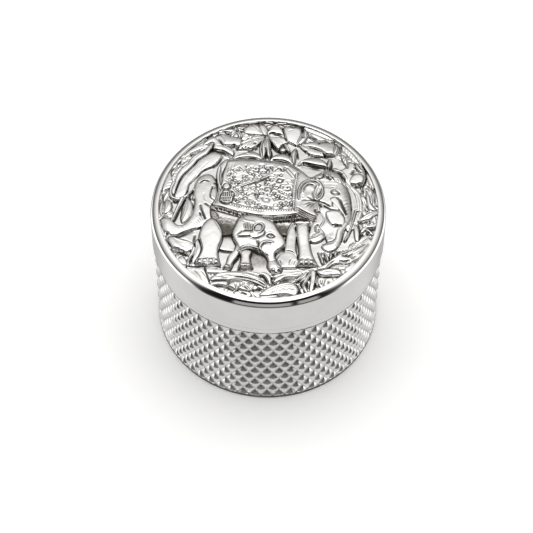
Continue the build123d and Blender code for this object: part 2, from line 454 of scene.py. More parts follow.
    # second star
    S([(836, 128), (868, 102), (920, 108), (954, 118), (962, 180), (952, 230), (930, 266), (900, 254), (862, 228), (848, 180)], 0.46, 0.44, 1.2)
    G([(870, 160), (888, 150), (906, 152)], 3, 0.10)
    K([(836, 128), (845, 180), (860, 228)], 4.4, 0.36, False)
    D(832, 120, 8, -0.5, 15)
    K([(862, 106), (890, 114), (914, 126)], 9, 0.55)
    K([(810, 78), (838, 80)], 7, 0.45, False)
    K([(884, 88), (920, 100), (954, 107)], 6, 0.5)
    K([(758, 78), (784, 84), (802, 100)], 7, 0.5)
    D(815, 108, 9, -0.5, 8)
    L([(930, 264), (970, 200), (974, 118)], 22, 0.50, 0.36)
    K([(956, 106), (963, 150), (966, 200)], 8.5, 0.55, False)
    S([(1000, 150), (1040, 148), (1082, 176), (1112, 226), (1064, 242), (1030, 218), (1004, 192)], 0.34, 0.36, 0.8)
    K([(1000, 166), (1010, 192), (1032, 212), (1064, 228)], 9.5, 0.6)
    K([(1018, 168), (1044, 164), (1072, 182)], 6.5, 0.5)
    L([(970, 116), (1060, 152), (1160, 216)], 24, 0.24, 0.32, veins=8, line=0.3)
    S([(958, 262), (1000, 234), (1064, 228), (1120, 236), (1170, 240), (1184, 290), (1162, 338), (1110, 342), (1086, 316), (1040, 290)], 0.46, 0.50, 1.2, tilt=(0, -0.12))
    K([(1064, 250), (1080, 236), (1110, 230), (1130, 238), (1164, 220)], 7.5, 0.55, False)
    K([(1080, 320), (1100, 340), (1122, 347), (1152, 344)], 10, 0.6)
    S([(940, 262), (990, 272), (1040, 292), (1082, 312), (1092, 354), (1040, 350), (1000, 336), (972, 308)], 0.50, 0.30, 0.9)
    for k in range(6):
        G([(986 + 15 * k, 282 + 6 * k), (1000 + 15 * k, 304 + 5 * k), (1006 + 14 * k, 332 + 3 * k)], 2.8, 0.11)
    K([(994, 278), (1040, 294), (1082, 313)], 6.5, 0.5)
    K([(976, 312), (1006, 340), (1040, 351), (1086, 356)], 4.4, 0.36, False)
    R.nicks([(980, 314), (1010, 341), (1086, 356)], 12, 5, 0.3, 8)
    K([(856, 256), (868, 306), (886, 340), (908, 316)], 7, 0.55, False)
    L([(846, 252), (866, 290), (880, 326)], 11, 0.62, 0.30)
    L([(922, 290), (902, 350), (906, 414)], 19, 0.62, 0.38)
    K([(920, 288), (927, 330), (933, 366)], 5.4, 0.45)
    K([(888, 352), (892, 384), (900, 410)], 4, 0.3)
    L([(1132, 370), (1128, 410), (1120, 448)], 14, 0.60, 0.36)
    K([(1139, 390), (1139, 420), (1130, 446)], 6, 0.48, False)
    S([(932, 422), (950, 386), (994, 362), (1052, 362), (1098, 384), (1114, 430), (1092, 442), (1020, 428), (970, 412)], 0.36, 0.58, 1.15, tilt=(0, -0.14))
    K([(962, 408), (1010, 423), (1050, 434), (1098, 441)], 11, 0.65, False)
    L([(1176, 248), (1174, 290), (1160, 340)], 16, 0.52, 0.34)
    K([(1190, 246), (1197, 286), (1184, 332)], 8.5, 0.55)
    # ---- right side: folded leaf, stems, blades
    L([(1206, 262), (1268, 330), (1322, 420)], 26, 0.22, 0.34, veins=8, line=0.3)
    L([(1206, 330), (1222, 372), (1236, 420)], 18, 0.34, 0.34, veins=4)
    S([(1140, 450), (1166, 438), (1200, 456), (1228, 430), (1240, 398), (1262, 390), (1290, 394), (1320, 410), (1346, 444), (1353, 490), (1349, 530), (1337, 560), (1316, 580), (1276, 588), (1248, 582), (1226, 556), (1216, 520), (1190, 488)], 0.44, 0.46, 1.2)
    P([(1146, 452), (1190, 462), (1222, 496), (1238, 532), (1232, 562), (1214, 552), (1206, 520), (1180, 488)], 0.16, 0.3, 0.35)
    P([(1250, 560), (1262, 520), (1290, 496), (1326, 500), (1340, 530), (1322, 562), (1284, 574)], 0.20, 0.6, 0.0)
    K([(1174, 478), (1192, 488), (1208, 499)], 7.5, 0.5)
    K([(1316, 406), (1344, 440), (1354, 490), (1351, 532), (1338, 563), (1316, 582)], 5.5, 0.48, False)
    D(1270, 578, 15, -0.55, 9)
    D(1312, 573, 13, -0.55, 9)
    D(1291, 587, 9, -0.4, 5)
    K([(1280, 462), (1270, 484), (1258, 500)], 8.5, 0.55)
    K([(1290, 444), (1302, 462), (1316, 476)], 7.5, 0.55, False)
    for a, b in (((1242, 402), (1237, 446)), ((1284, 400), (1292, 450)), ((1262, 398), (1284, 406)), ((1310, 420), (1322, 450))):
        G([a, b], 5, 0.40, taper=False)
    L([(1360, 470), (1384, 540), (1398, 596)], 16, 0.22, 0.3, line=0.3)
    K([(1362, 472), (1374, 490)], 4.5, 0.32, False)
    S([(1212, 570), (1256, 600), (1304, 636), (1332, 690), (1340, 760), (1316, 836), (1290, 880), (1250, 920), (1222, 900), (1226, 700)], 0.56, 0.08, 1.6, cut=0.0, line=0.0)
    R.tube([(1212, 556), (1250, 602), (1276, 660), (1288, 730), (1284, 790)], 10, 9, 0.46, 0.26, line=0.16, cut=0.05)
    R.tube([(1262, 592), (1300, 640), (1318, 700), (1316, 760), (1300, 832)], 11, 8, 0.46, 0.30, mid=15, line=0.2, cut=0.05)
    K([(1323, 672), (1329, 740), (1327, 800), (1316, 828)], 4.6, 0.36)
    K([(1321, 582), (1330, 604), (1338, 652)], 6.4, 0.5)
    S([(1316, 664), (1330, 652), (1346, 668), (1353, 720), (1364, 766), (1346, 756), (1334, 712)], 0.42, 0.30, 0.6)
    K([(1338, 688), (1350, 730), (1365, 768)], 5.4, 0.45)
    S([(1350, 584), (1368, 616), (1386, 660), (1392, 716), (1414, 750), (1390, 766), (1364, 746), (1352, 690), (1348, 640)], 0.34, 0.36, 0.7)
    K([(1352, 620), (1374, 652), (1381, 700), (1387, 718)], 6.4, 0.52, False)
    K([(1387, 716), (1398, 738), (1418, 749)], 5.4, 0.42)
    K([(1352, 560), (1386, 592), (1402, 612), (1404, 650), (1406, 696), (1427, 732)], 4.8, 0.40, False)
    D(1403, 610, 8, -0.5, 8)
    D(1413, 716, 7, -0.45, 12, 60)
    S([(1300, 848), (1336, 802), (1376, 776), (1428, 760), (1426, 780), (1392, 812), (1360, 840), (1330, 850)], 0.46, 0.44, 1.0)
    G([(1316, 840), (1360, 808), (1414, 772)], 3, 0.10)
    K([(1302, 855), (1326, 853), (1352, 847)], 7, 0.55, False)
    K([(1350, 864), (1366, 853), (1386, 835)], 6, 0.45)
    S([(1306, 942), (1316, 906), (1344, 882), (1386, 868), (1432, 834), (1426, 870), (1396, 892), (1362, 900), (1338, 916), (1322, 938)], 0.42, 0.36, 0.7)
    K([(1356, 903), (1392, 899), (1422, 873)], 8.5, 0.55, False)
    L([(1344, 902), (1360, 926), (1390, 952)], 13, 0.50, 0.32)
    D(1320, 946, 12, -0.6, 13)
    D(1351, 940, 16, -0.6, 7)
    S([(1272, 882), (1284, 870), (1298, 900), (1305, 950), (1300, 990), (1282, 998), (1272, 960)], 0.40, 0.30, 0.6)
    D(1275, 1004, 8, -0.5, 10)
    K([(1300, 874), (1307, 930), (1303, 984)], 5, 0.42, False)
    R.paint_shade_and_oxide([(1310, 860), (1340, 866), (1330, 890), (1304, 892)], 0.3, 10)


def left_elephant(R):
    S, G = R.shape, R.groove
    # leaf between its trunk and tusk, and small leaves by the rim
    R.leaf([(256, 690), (254, 780), (226, 868)], 34, 0.26, 0.38, twist=0.05)
    R.leaf([(128, 690), (136, 746), (118, 800)], 26, 0.24, 0.34)
    R.leaf([(100, 700), (92, 760), (98, 810)], 12, 0.2, 0.3)
    S([(330, 512), (372, 494), (408, 512), (428, 556), (434, 622), (450, 694), (466, 760), (450, 836), (390, 880), (330, 910), (290, 918), (240, 938), (186, 966), (150, 952), (112, 916), (96, 866), (94, 832), (130, 826), (166, 836), (176, 864), (208, 888), (246, 872), (274, 826), (292, 764), (296, 700), (288, 650), (292, 600), (304, 548)], 0.40, 0.60, 2.0, cut=0.05, line=0.04)
    # trunk's open tip
    G([(95, 836), (112, 829), (137, 831), (148, 838)], 5, 0.5, taper=False)
    R.ridge([(92, 826), (128, 818), (168, 832)], 6, 0.12)
    for t in np.linspace(0, 1, 9):
        u, v = 200 + 150 * t, 950 - 110 * t - 60 * t * t
        G([(u - 14 - 26 * t, v - 30 - 30 * t), (u - 2, v - 16), (u + 6, v)], 2.6, 0.05)
    # tusk
    R.tube([(222, 690), (198, 756), (164, 850)], 15, 7, 0.62, 0.46)
    G([(238, 690), (210, 758), (178, 848)], 5, 0.30, taper=False)
    R.paint_shade_and_oxide([(232, 690), (244, 694), (196, 820), (178, 856), (172, 846)], 0.30, 10)
    # eye, mouth and ear
    R.ridge([(326, 566), (350, 548), (378, 552)], 4, 0.07)
    R.bump(358, 566, 14, 0.09, 8, 15)
    G([(328, 569), (344, 559), (360, 553), (380, 558)], 5.2, 0.36, taper=False)
    G([(340, 574), (358, 570), (370, 562)], 3.2, 0.14)
    G([(392, 506), (414, 524), (425, 546), (422, 576)], 4, 0.24)
    R.bump(422, 574, 8, -0.30, 10)
    R.paint_shade_and_oxide([(318, 510), (350, 506), (340, 540), (318, 560)], 0.22, 16)
    G([(334, 748), (342, 780), (354, 814), (366, 846)], 6, 0.46, taper=False)
    G([(332, 802), (338, 820)], 5, 0.30, taper=False)
    G([(364, 734), (384, 750), (406, 768)], 5.4, 0.42, taper=False)
    R.paint_shade_and_oxide([(330, 800), (356, 810), (372, 856), (340, 880), (310, 890)], 0.34, 20)
    for k in range(6):
        G([(286 + 10 * k, 884 - 12 * k), (300 + 10 * k, 898 - 10 * k), (312 + 9 * k, 918 - 8 * k)], 3, 0.14)
    R.ridge([(424, 560), (416, 604), (402, 650), (400, 694), (430, 726)], 6, 0.10)
    G([(408, 602), (398, 636), (394, 670), (400, 690), (424, 712), (450, 732)], 4.6, 0.34, taper=False)
    G([(404, 620), (416, 612), (426, 602)], 4, 0.22)
    G([(354, 652), (354, 686), (372, 720)], 3.4, 0.12)


def adult(R):
    S, G = R.shape, R.groove
    # leaf curl before the foreleg, with a hook inside it
    S([(1052, 780), (1030, 842), (1010, 890), (999, 940), (996, 986), (1006, 1010), (1034, 1014), (1062, 1004), (1088, 980), (1098, 955), (1104, 924), (1106, 880), (1110, 820), (1086, 780)], 0.34, 0.36, 0.9)
    G([(1052, 885), (1040, 894), (1037, 914), (1042, 940), (1054, 936), (1057, 920)], 5.2, 0.45, taper=False)
    G([(1036, 948), (1024, 960), (1012, 974)], 4.6, 0.38)
    R.ridge([(1010, 996), (1044, 984), (1076, 960)], 8, 0.12)
    # flank, shoulder, head and trunk in one
    S([(470, 388), (540, 378), (640, 380), (740, 386), (830, 400), (910, 428), (966, 474), (1006, 516), (1040, 500), (1086, 472), (1138, 466), (1184, 488), (1210, 544), (1236, 613), (1250, 670), (1257, 740), (1258, 805), (1246, 856), (1224, 896), (1208, 936), (1199, 980), (1185, 1016), (1162, 1052), (1134, 1071), (1104, 1073), (1080, 1056), (1073, 1036), (1086, 1016), (1104, 1006), (1098, 980), (1095, 952), (1084, 926), (1062, 900), (1080, 866), (1088, 836), (1076, 808), (1054, 798), (1030, 850), (1012, 884), (990, 896), (920, 900), (880, 960), (800, 958), (740, 960), (600, 966), (520, 962), (470, 960), (430, 900), (404, 840), (398, 760), (430, 690), (436, 620), (430, 540), (436, 450)], 0.46, 0.72, 3.6)
    belly = [(396, 780), (470, 826), (560, 850), (700, 872), (860, 884), (920, 892), (890, 950), (800, 962), (600, 966), (490, 964), (410, 940)]
    # painted shade on the belly, darkest at its bottom edge
    R.paint_shade_and_oxide(belly, 0.46, 24)
    R.paint_shade_and_oxide([(410, 884), (560, 902), (700, 912), (880, 908), (880, 962), (700, 976), (560, 978), (420, 968)], 0.40, 40)
    R.stipple(belly, 420, 4.5, -0.07, 3)
    G([(452, 1062), (480, 1072), (530, 1078)], 8, 0.55, taper=False)
    # far foreleg, pointed at its top, on a mound with a few blades
    S([(898, 866), (912, 900), (922, 960), (918, 1020), (920, 1080), (924, 1160), (846, 1160), (850, 1060), (858, 980), (876, 912)], 0.50, 0.36, 0.9, cut=0.08, line=0.22)
    R.paint_shade_and_oxide([(898, 900), (914, 960), (910, 1040), (896, 1080), (886, 1000)], 0.28, 14)
    S([(792, 1194), (800, 1146), (826, 1100), (866, 1080), (904, 1092), (930, 1140), (936, 1194)], 0.54, 0.10, 0.8, cut=0.02, line=0.05)
    R.paint_shade_and_oxide([(800, 1190), (820, 1130), (866, 1110), (910, 1130), (930, 1190)], 0.16, 20)
    for u, v, du, d in [(820, 1172, -14, 0.12), (830, 1156, -10, 0.20), (846, 1166, -12, 0.10), (876, 1150, 12, 0.18), (886, 1164, 14, 0.10), (904, 1160, 12, 0.14)]:
        G([(u, 1184), (u + 0.3 * du, v + 6), (u + du, v - 16)], 2.8, d)
    # hip fold and tail rope beside the cloth
    R.tube([(446, 452), (438, 520), (448, 590), (470, 640)], 11, 9, 0.84, 0.22)
    G([(458, 440), (462, 520), (460, 590)], 6, 0.18)
    # shading folds of the flank
    G([(408, 780), (436, 810), (452, 850)], 4, 0.16)
    # near hind leg
    S([(404, 842), (432, 858), (456, 898), (475, 952), (471, 1002), (455, 1052), (450, 1104), (458, 1150), (463, 1190), (400, 1196), (322, 1192), (318, 1150), (327, 1100), (331, 1050), (328, 1000), (334, 950), (348, 900), (372, 862)], 0.58, 0.62, 1.2, tilt=(0, 0.03), line=0.12, cut=0.08)
    for u, v in [(338, 1164), (372, 1158), (408, 1158), (442, 1164)]:
        R.bump(u, v + 4, 15, 0.26, 14)
    for u, v in [(355, 1176), (390, 1174), (425, 1176)]:
        G([(u, v - 14), (u, v + 8)], 3.2, 0.22, taper=False)
    G([(332, 1146), (352, 1140), (366, 1148), (386, 1136), (404, 1148), (424, 1136), (448, 1148)], 3, 0.08)
    G([(326, 1190), (396, 1194), (462, 1190)], 5.5, 0.45, taper=False)
    G([(420, 862), (446, 910), (470, 962)], 3, 0.10)
    # near foreleg, with a plain band at its top
    S([(930, 884), (988, 884), (998, 950), (1002, 1020), (1016, 1100), (1042, 1162), (1048, 1190), (924, 1194), (930, 1150), (934, 1080), (926, 1000), (920, 930)], 0.60, 0.62, 1.15, tilt=(0, 0.04), line=0.10, cut=0.06)
    S([(912, 862), (956, 852), (1000, 862), (1002, 884), (956, 890), (914, 886)], 0.86, 0.44, 0.6)
    for u in (948, 980, 1012):
        R.bump(u, 1167, 15, 0.26, 14)
    for u in (964, 996):
        G([(u, 1162), (u, 1184)], 3.2, 0.22, taper=False)
    G([(936, 1146), (958, 1138), (972, 1150), (990, 1134), (1006, 1148), (1030, 1142)], 3, 0.09)
    G([(924, 1192), (986, 1195), (1048, 1189)], 5.5, 0.45, taper=False)


def cloth(R):
    S, G = R.shape, R.groove
    top = [(492, 404), (560, 398), (650, 400), (740, 408), (830, 424), (898, 448), (944, 486)]
    right = [(944, 486), (938, 560), (928, 640), (924, 720), (920, 792)]
    low = [(920, 792), (840, 802), (740, 806), (650, 796), (560, 772), (490, 744), (446, 712)]
    left = [(446, 712), (458, 640), (462, 570), (470, 500), (480, 450)]
    sheet = np.vstack([smooth_line(top), smooth_line(right)[1:], smooth_line(low)[1:], smooth_line(left)[1:-1], [left[-1]]])
    # the cloth follows the flank: a thin layer over what is there
    R.patch(sheet, 0.14, 0.25, 0.6, sharp=True)
    # lower border: two bands hanging below the field
    bands = [
        ([(404, 738), (446, 752), (560, 796), (572, 836), (500, 812), (430, 786), (402, 772)], [(422, 758), (470, 775), (520, 796), (562, 816)]),
        ([(572, 794), (660, 816), (760, 826), (850, 820), (922, 808), (926, 834), (850, 846), (760, 852), (660, 842), (574, 824)], [(584, 808), (670, 829), (760, 839), (850, 833), (918, 820)]),
        ([(764, 852), (850, 846), (930, 834), (990, 842), (1000, 860), (930, 864), (850, 868), (770, 878)], [(784, 865), (860, 857), (930, 849), (988, 852)]),
    ]
    for loop, row in bands:
        R.patch(loop, 0.07, 0.2, 0.85)
        R.paint_shade_and_oxide(loop, 0.30, 8)
        R.beads(row, 15, 5.2, 0.20)
        R.nicks([(u, v + 6) for u, v in row], 13, 5.4, 0.62, 31)
    for line in ([(402, 772), (430, 786), (500, 812), (572, 836)], [(574, 824), (660, 842), (760, 852), (850, 846), (926, 834)], [(770, 878), (850, 868), (930, 864), (1000, 860)], [(404, 738), (446, 752), (560, 796)], [(572, 794), (660, 816), (760, 826), (850, 820), (922, 808)]):
        G(line, 4.5, 0.34, taper=False)
    G([(495, 400), (480, 450), (465, 500), (458, 540), (462, 590)], 9, 0.28)
    # edge lines and beads of the field
    for off, r, depth in ((9, 3.8, 0.27), (33, 3.6, 0.24)):
        for line in (right, low):
            p = smooth_line(line)
            c = np.array([700, 600.0])
            q = p + (c - p) / np.linalg.norm(c - p, axis=1, keepdims=True) * off
            G(q[::3], r, depth, k=2, taper=False)
    for line, n in ((right, 15), (low, 15)):
        p = smooth_line(line)
        c = np.array([700, 600.0])
        q = p + (c - p) / np.linalg.norm(c - p, axis=1, keepdims=True) * 21
        R.beads(q[::2], n, 4.8, 0.15, k=2)
    # field: rosettes, scrolls and small marks on a loose diagonal lattice
    rng = np.random.default_rng(21)
    field = mm(smooth_loop([(520, 440), (600, 424), (720, 428), (830, 446), (900, 480), (904, 560), (894, 650), (886, 752), (800, 766), (690, 762), (600, 744), (540, 720), (530, 640), (500, 560), (506, 490)], 4))

    def in_field(u, v):
        p = mm([(u, v)])[0]
        x, y = field[:, 0], field[:, 1]
        x1, y1 = np.roll(x, -1), np.roll(y, -1)
        c = (y > p[1]) != (y1 > p[1])
        t = (x1 - x) * (p[1] - y) / np.where(y1 == y, 1e-9, y1 - y) + x
        return (c & (p[0] < t)).sum() % 2 == 1

    def stroke(u, v, a, pts, r=3.9, depth=0.29, closed=False, k=6):
        c, s = np.cos(a), np.sin(a)
        G([(u + x * c - y * s, v + x * s + y * c) for x, y in pts], r, depth, closed=closed, taper=False, k=k)

    RING = [(14 * np.cos(t), 14 * np.sin(t)) for t in np.linspace(0, 2 * np.pi, 9)[:-1]]
    SPIRAL = [((5 + 3.1 * t) * np.cos(t), (5 + 3.1 * t) * np.sin(t)) for t in np.linspace(0, 6.6, 16)]
    SCROLL = [(-22, 3), (-19, 14), (-8, 14), (-3, 2), (3, -2), (8, -14), (19, -14), (22, -3)]
    HOOK = [(-18, 14), (0, 16), (14, 8), (16, -6), (6, -15), (-5, -10), (-3, 0)]
    DIAMOND = [(-19, 0), (0, -15), (19, 0), (0, 15)]
    PETAL = [(-22, 0), (-8, -9), (8, -8), (22, 0), (8, 8), (-8, 9)]
    PAIR = [(-16, -9), (0, -5), (16, -9)]
    placed = []
    for x in range(6):
        G([(494 + 9 * x, 418), (488 + 9 * x, 470), (482 + 9 * x, 520 + 12 * x), (478 + 9 * x, 566)], 3.2, 0.18 if x % 2 else 0.10)
    for u, v, pts, a, size in [
        (562, 480, DIAMOND, 0.2, 1.9), (562, 480, DIAMOND, 0.2, 0.9), (742, 630, SPIRAL, 0.5, 1.15), (736, 704, HOOK, 1.2, 1.25),
        (676, 470, SPIRAL, 2.4, 0.95), (640, 664, SCROLL, 0.5, 1.2), (820, 560, DIAMOND, -0.4, 1.3), (838, 690, SPIRAL, 3.2, 0.9),
        (604, 700, SPIRAL, 1.0, 0.9), (800, 470, SCROLL, 0.3, 1.1), (690, 590, HOOK, 2.6, 1.2), (870, 620, HOOK, 0.2, 1.1),
    ]:
        stroke(u, v, a, [(x * size, y * size) for x, y in pts], closed=pts is DIAMOND, k=1 if pts is DIAMOND else 6)
        R.bump(u, v, 8, 0.08)
        placed.append((u, v, 24 * size))
    for x in (0, 17):
        G([(850 + x, 462 - 0.6 * x), (874 + x, 496 - 0.6 * x), (900 + x, 534 - 0.6 * x)], 4.2, 0.2, taper=False)
    placed.append((882, 496, 34))
    for _ in range(900):
        u, v = rng.uniform(500, 915), rng.uniform(446, 775)
        size = rng.uniform(0.55, 0.85)
        if not in_field(u, v) or any(np.hypot(u - a, v - b) < c + 14 * size for a, b, c in placed):
            continue
        if abs((v - 617) + (u - 570) * 0.603) < 14 and 556 < u < 772:
            continue
        pts = [PETAL, RING, PETAL, SPIRAL, PAIR, SPIRAL, DIAMOND][rng.integers(0, 7)]
        stroke(u, v, rng.uniform(0, 2 * np.pi), [(x * size, y * size) for x, y in pts], r=3.6, depth=0.25, closed=pts in (RING, DIAMOND, PETAL), k=1 if pts is DIAMOND else 5)
        R.bump(u, v, 6, 0.06)
        placed.append((u, v, 14 * size))
    R.paint_shade_and_oxide([(500, 420), (720, 410), (900, 470), (910, 600), (890, 770), (690, 780), (520, 730), (500, 560)], 0.10, 20)
    # a long crease across the field and a diamond left of the middle
    R.ridge([(566, 612), (640, 580), (720, 540), (770, 512)], 4, 0.10)
    G([(570, 620), (646, 588), (726, 548), (776, 520)], 4.2, 0.36)
    R.ridge([(520, 482), (560, 458), (604, 486), (560, 516)], 3.4, 0.09, k=1, closed=True)
    # tassel and its knot at the left edge
    R.patch([(466, 606), (478, 584), (500, 582), (516, 600), (510, 622), (488, 632), (470, 624)], 0.26, 0.4, 0.75)
    G([(466, 606), (478, 584), (500, 582), (516, 600), (510, 622), (488, 632), (470, 624)], 4.4, 0.40, closed=True)
    R.patch([(468, 640), (496, 634), (522, 644), (540, 660), (526, 722), (500, 738), (470, 730), (452, 704)], 0.18, 0.5, 0.75)
    G([(468, 640), (496, 634), (522, 644), (540, 660), (526, 722), (500, 738), (470, 730), (452, 704)], 4.4, 0.40, closed=True)
    for k in range(5):
        for j in range(4):
            u, v = 472 + 13 * k - 4 * j + 5 * (j % 2), 654 + 20 * j
            G([(u, v - 6), (u - 1, v + 6)], 4.0, 0.36, taper=False)


def head(R):
    S, G = R.shape, R.groove
    # mouth lower than the trunk, and the trunk's inner edge
    R.bump(1118, 944, 30, -0.22, 44)
    G([(1168, 908), (1162, 946), (1152, 984), (1136, 1001), (1108, 1006), (1084, 1018)], 4.4, 0.20)
    R.ridge([(1226, 880), (1184, 930), (1174, 985), (1146, 1030), (1096, 1042)], 14, 0.14)
    for k in range(4):
        G([(1116 + 9 * k, 962 + 3 * k), (1122 + 9 * k, 978 + 3 * k), (1130 + 8 * k, 990)], 2.8, 0.10)
    for k in range(9):
        q = k / 8
        v = 690 + 210 * q
        G([(1208 + 4 * q, v + 12), (1230, v + 4), (1252 - 10 * q * q, v - 8)], 2.8, 0.05)
    for c in np.linspace(0.15, 2.2, 7):
        G([(1130 + 36 * np.cos(c), 1004 + 30 * np.sin(c)), (1132 + 54 * np.cos(c), 1006 + 50 * np.sin(c)), (1134 + 66 * np.cos(c), 1006 + 62 * np.sin(c))], 2.6, 0.07)
    # painted shade on the trunk's right side, where its shadow falls
    R.paint_shade_and_oxide([(1206, 600), (1236, 630), (1252, 700), (1256, 800), (1240, 850), (1222, 836), (1226, 760), (1216, 690)], 0.34, 24)
    G([(1206, 556), (1216, 578), (1236, 613), (1248, 650), (1255, 700), (1258, 770)], 4, 0.2, taper=False)
    G([(1214, 731), (1234, 719)], 3, 0.14, taper=False)
    # headpiece with feather strokes
    R.patch([(1006, 548), (1036, 508), (1084, 476), (1138, 472), (1182, 494), (1206, 536), (1212, 566), (1180, 558), (1136, 552), (1094, 548), (1050, 550)], 0.10, 0.3, 0.3)
    R.paint_shade_and_oxide([(1010, 540), (1040, 506), (1090, 482), (1140, 480), (1180, 500), (1200, 540), (1140, 544), (1060, 540)], 0.36, 18)
    G([(1086, 492), (1090, 512), (1078, 530), (1054, 536)], 5.5, 0.30)
    G([(1104, 520), (1116, 522), (1120, 536), (1130, 544), (1140, 542)], 5.0, 0.32)
    for u, v in ((1160, 548), (1172, 552), (1184, 550), (1066, 540), (1150, 530), (1040, 532), (1024, 540)):
        G([(u - 5, v - 10), (u, v + 4)], 4, 0.18, taper=False)
    R.ridge([(1094, 500), (1100, 530), (1104, 548)], 5, 0.14)
    R.ridge([(1122, 512), (1132, 530), (1144, 544)], 4.5, 0.14)
    G([(1200, 550), (1210, 570), (1220, 590)], 4.5, 0.26)
    for u in range(1096, 1170, 9):
        G([(u, 578), (u + 1, 592), (u, 606)], 2.8, 0.12, taper=False)
    G([(1096, 582), (1130, 578), (1166, 580)], 2.6, 0.08)
    # mouth line, chin
    G([(1050, 716), (1068, 718), (1090, 724), (1108, 736), (1122, 746)], 5.2, 0.42, taper=False)
    R.bump(1118, 742, 9, -0.34, 6, -45)
    G([(1056, 724), (1066, 740), (1076, 758)], 8, 0.46)
    R.ridge([(1074, 732), (1096, 742), (1116, 756)], 5, 0.14)
    G([(1090, 750), (1112, 762), (1132, 772), (1156, 776), (1182, 780)], 5, 0.36, taper=False)
    G([(1140, 718), (1141, 744)], 4, 0.26, taper=False)
    # lip over the trunk's root
    R.patch([(1098, 800), (1120, 786), (1150, 782), (1182, 788), (1202, 806), (1214, 838), (1214, 868), (1196, 888), (1162, 886), (1132, 884), (1112, 852)], 0.20, 0.4, 0.5)
    G([(1097, 800), (1100, 824), (1113, 856), (1133, 886), (1148, 898)], 4.4, 0.26, taper=False)
    R.bump(1160, 890, 11, -0.45, 9)
    G([(1150, 898), (1172, 896), (1186, 892), (1202, 897)], 5, 0.36)
    # tusk, dark along its outer side with painted shade
    R.patch([(1128, 700), (1150, 680), (1172, 684), (1192, 716), (1207, 760), (1220, 806), (1215, 826), (1198, 802), (1176, 766), (1150, 732)], 0.26, 0.4, 0.0)
    G([(1166, 682), (1186, 698), (1196, 724), (1210, 764), (1224, 810)], 8.5, 0.55)
    R.paint_shade_and_oxide([(1160, 676), (1194, 688), (1216, 740), (1230, 806), (1212, 796), (1188, 730)], 0.46, 12)
    # painted shade down the trunk's side and below its inner edge
    R.paint_shade_and_oxide([(1226, 560), (1240, 640), (1250, 740), (1246, 840), (1226, 850), (1216, 740), (1200, 620)], 0.22, 30)
    R.paint_shade_and_oxide([(1110, 900), (1150, 900), (1190, 920), (1180, 990), (1130, 1010), (1110, 960)], 0.20, 24)
    G([(1186, 786), (1198, 804), (1214, 828)], 5, 0.40)
    # eye
    R.bump(1156, 640, 30, 0.05, 24)
    G([(1138, 640), (1144, 628), (1156, 623), (1170, 632), (1184, 650), (1166, 657), (1148, 654)], 4.4, 0.80, closed=True)
    R.paint_shade_and_oxide([(1150, 640), (1160, 634), (1170, 644), (1160, 650)], -0.5, 5)
    G([(1166, 650), (1158, 646)], 3, 0.12, taper=False)
    G([(1122, 612), (1150, 600), (1184, 618)], 3.2, 0.10)
    G([(1160, 676), (1172, 684), (1186, 680)], 3.6, 0.16)
    # ear: rolled rim, second roll, inner lobe
    ear = [(930, 690), (932, 630), (950, 584), (984, 556), (1024, 548), (1060, 562), (1082, 600), (1090, 646), (1080, 684), (1050, 714), (1016, 706), (970, 706), (940, 712)]
    R.patch(ear, 0.16, 0.3, 0.9)
    R.bump(994, 634, 30, -0.14, 36)
    R.ridge([(936, 700), (936, 636), (954, 588), (986, 560), (1024, 553), (1058, 568), (1078, 602), (1085, 646), (1076, 682), (1048, 710)], 7, 0.20)
    G([(949, 656), (950, 624), (964, 592), (992, 568), (1024, 566), (1050, 578), (1064, 594)], 4.6, 0.42)
    R.ridge([(960, 650), (962, 618), (978, 592), (1004, 578), (1030, 584), (1048, 600)], 6, 0.14)
    G([(970, 630), (976, 606), (994, 590), (1016, 594), (1038, 608)], 4.6, 0.40)
    R.ridge([(1036, 704), (1034, 668), (1042, 626), (1056, 602)], 9, 0.22)
    G([(1026, 626), (1022, 652), (1024, 678), (1032, 694)], 4.4, 0.42)
    G([(1066, 616), (1074, 628), (1066, 648), (1058, 666), (1056, 684)], 5.0, 0.42)
    G([(960, 676), (966, 690)], 4, 0.12)
    G([(992, 678), (1006, 692), (1020, 704), (1046, 716)], 6.5, 0.42)
    # neck below the ear: folds gathered under it, straps over the shoulder, painted shade under the ear
    G([(936, 706), (958, 703), (986, 704)], 4.2, 0.22)
    for q in ((960, 738), (972, 762), (1000, 770)):
        G([(1040, 722), (0.5 * (1040 + q[0]), 0.5 * (722 + q[1]) - 6), q], 3.2, 0.10)
    G([(1040, 770), (1036, 784), (1050, 800)], 6, 0.34)
    R.ridge([(1052, 730), (1054, 756), (1060, 786)], 7, 0.20)
    R.paint_shade_and_oxide([(1060, 720), (1084, 744), (1098, 780), (1076, 792), (1064, 760)], 0.40, 16)
    R.paint_shade_and_oxide([(930, 720), (1040, 722), (1050, 800), (1030, 850), (990, 890), (930, 840)], 0.34, 30)
    R.paint_shade_and_oxide([(990, 716), (1044, 722), (1056, 790), (1030, 800), (1000, 760)], 0.26, 24)
    for k in range(4):
        G([(922, 756 + 17 * k), (958, 784 + 16 * k), (1006, 812 + 13 * k), (1044, 822 + 12 * k)], 4.2, 0.46)
    for k in range(3):
        R.beads([(936, 774 + 17 * k), (972, 800 + 15 * k), (1036, 826 + 12 * k)], 11, 3.6, 0.12)


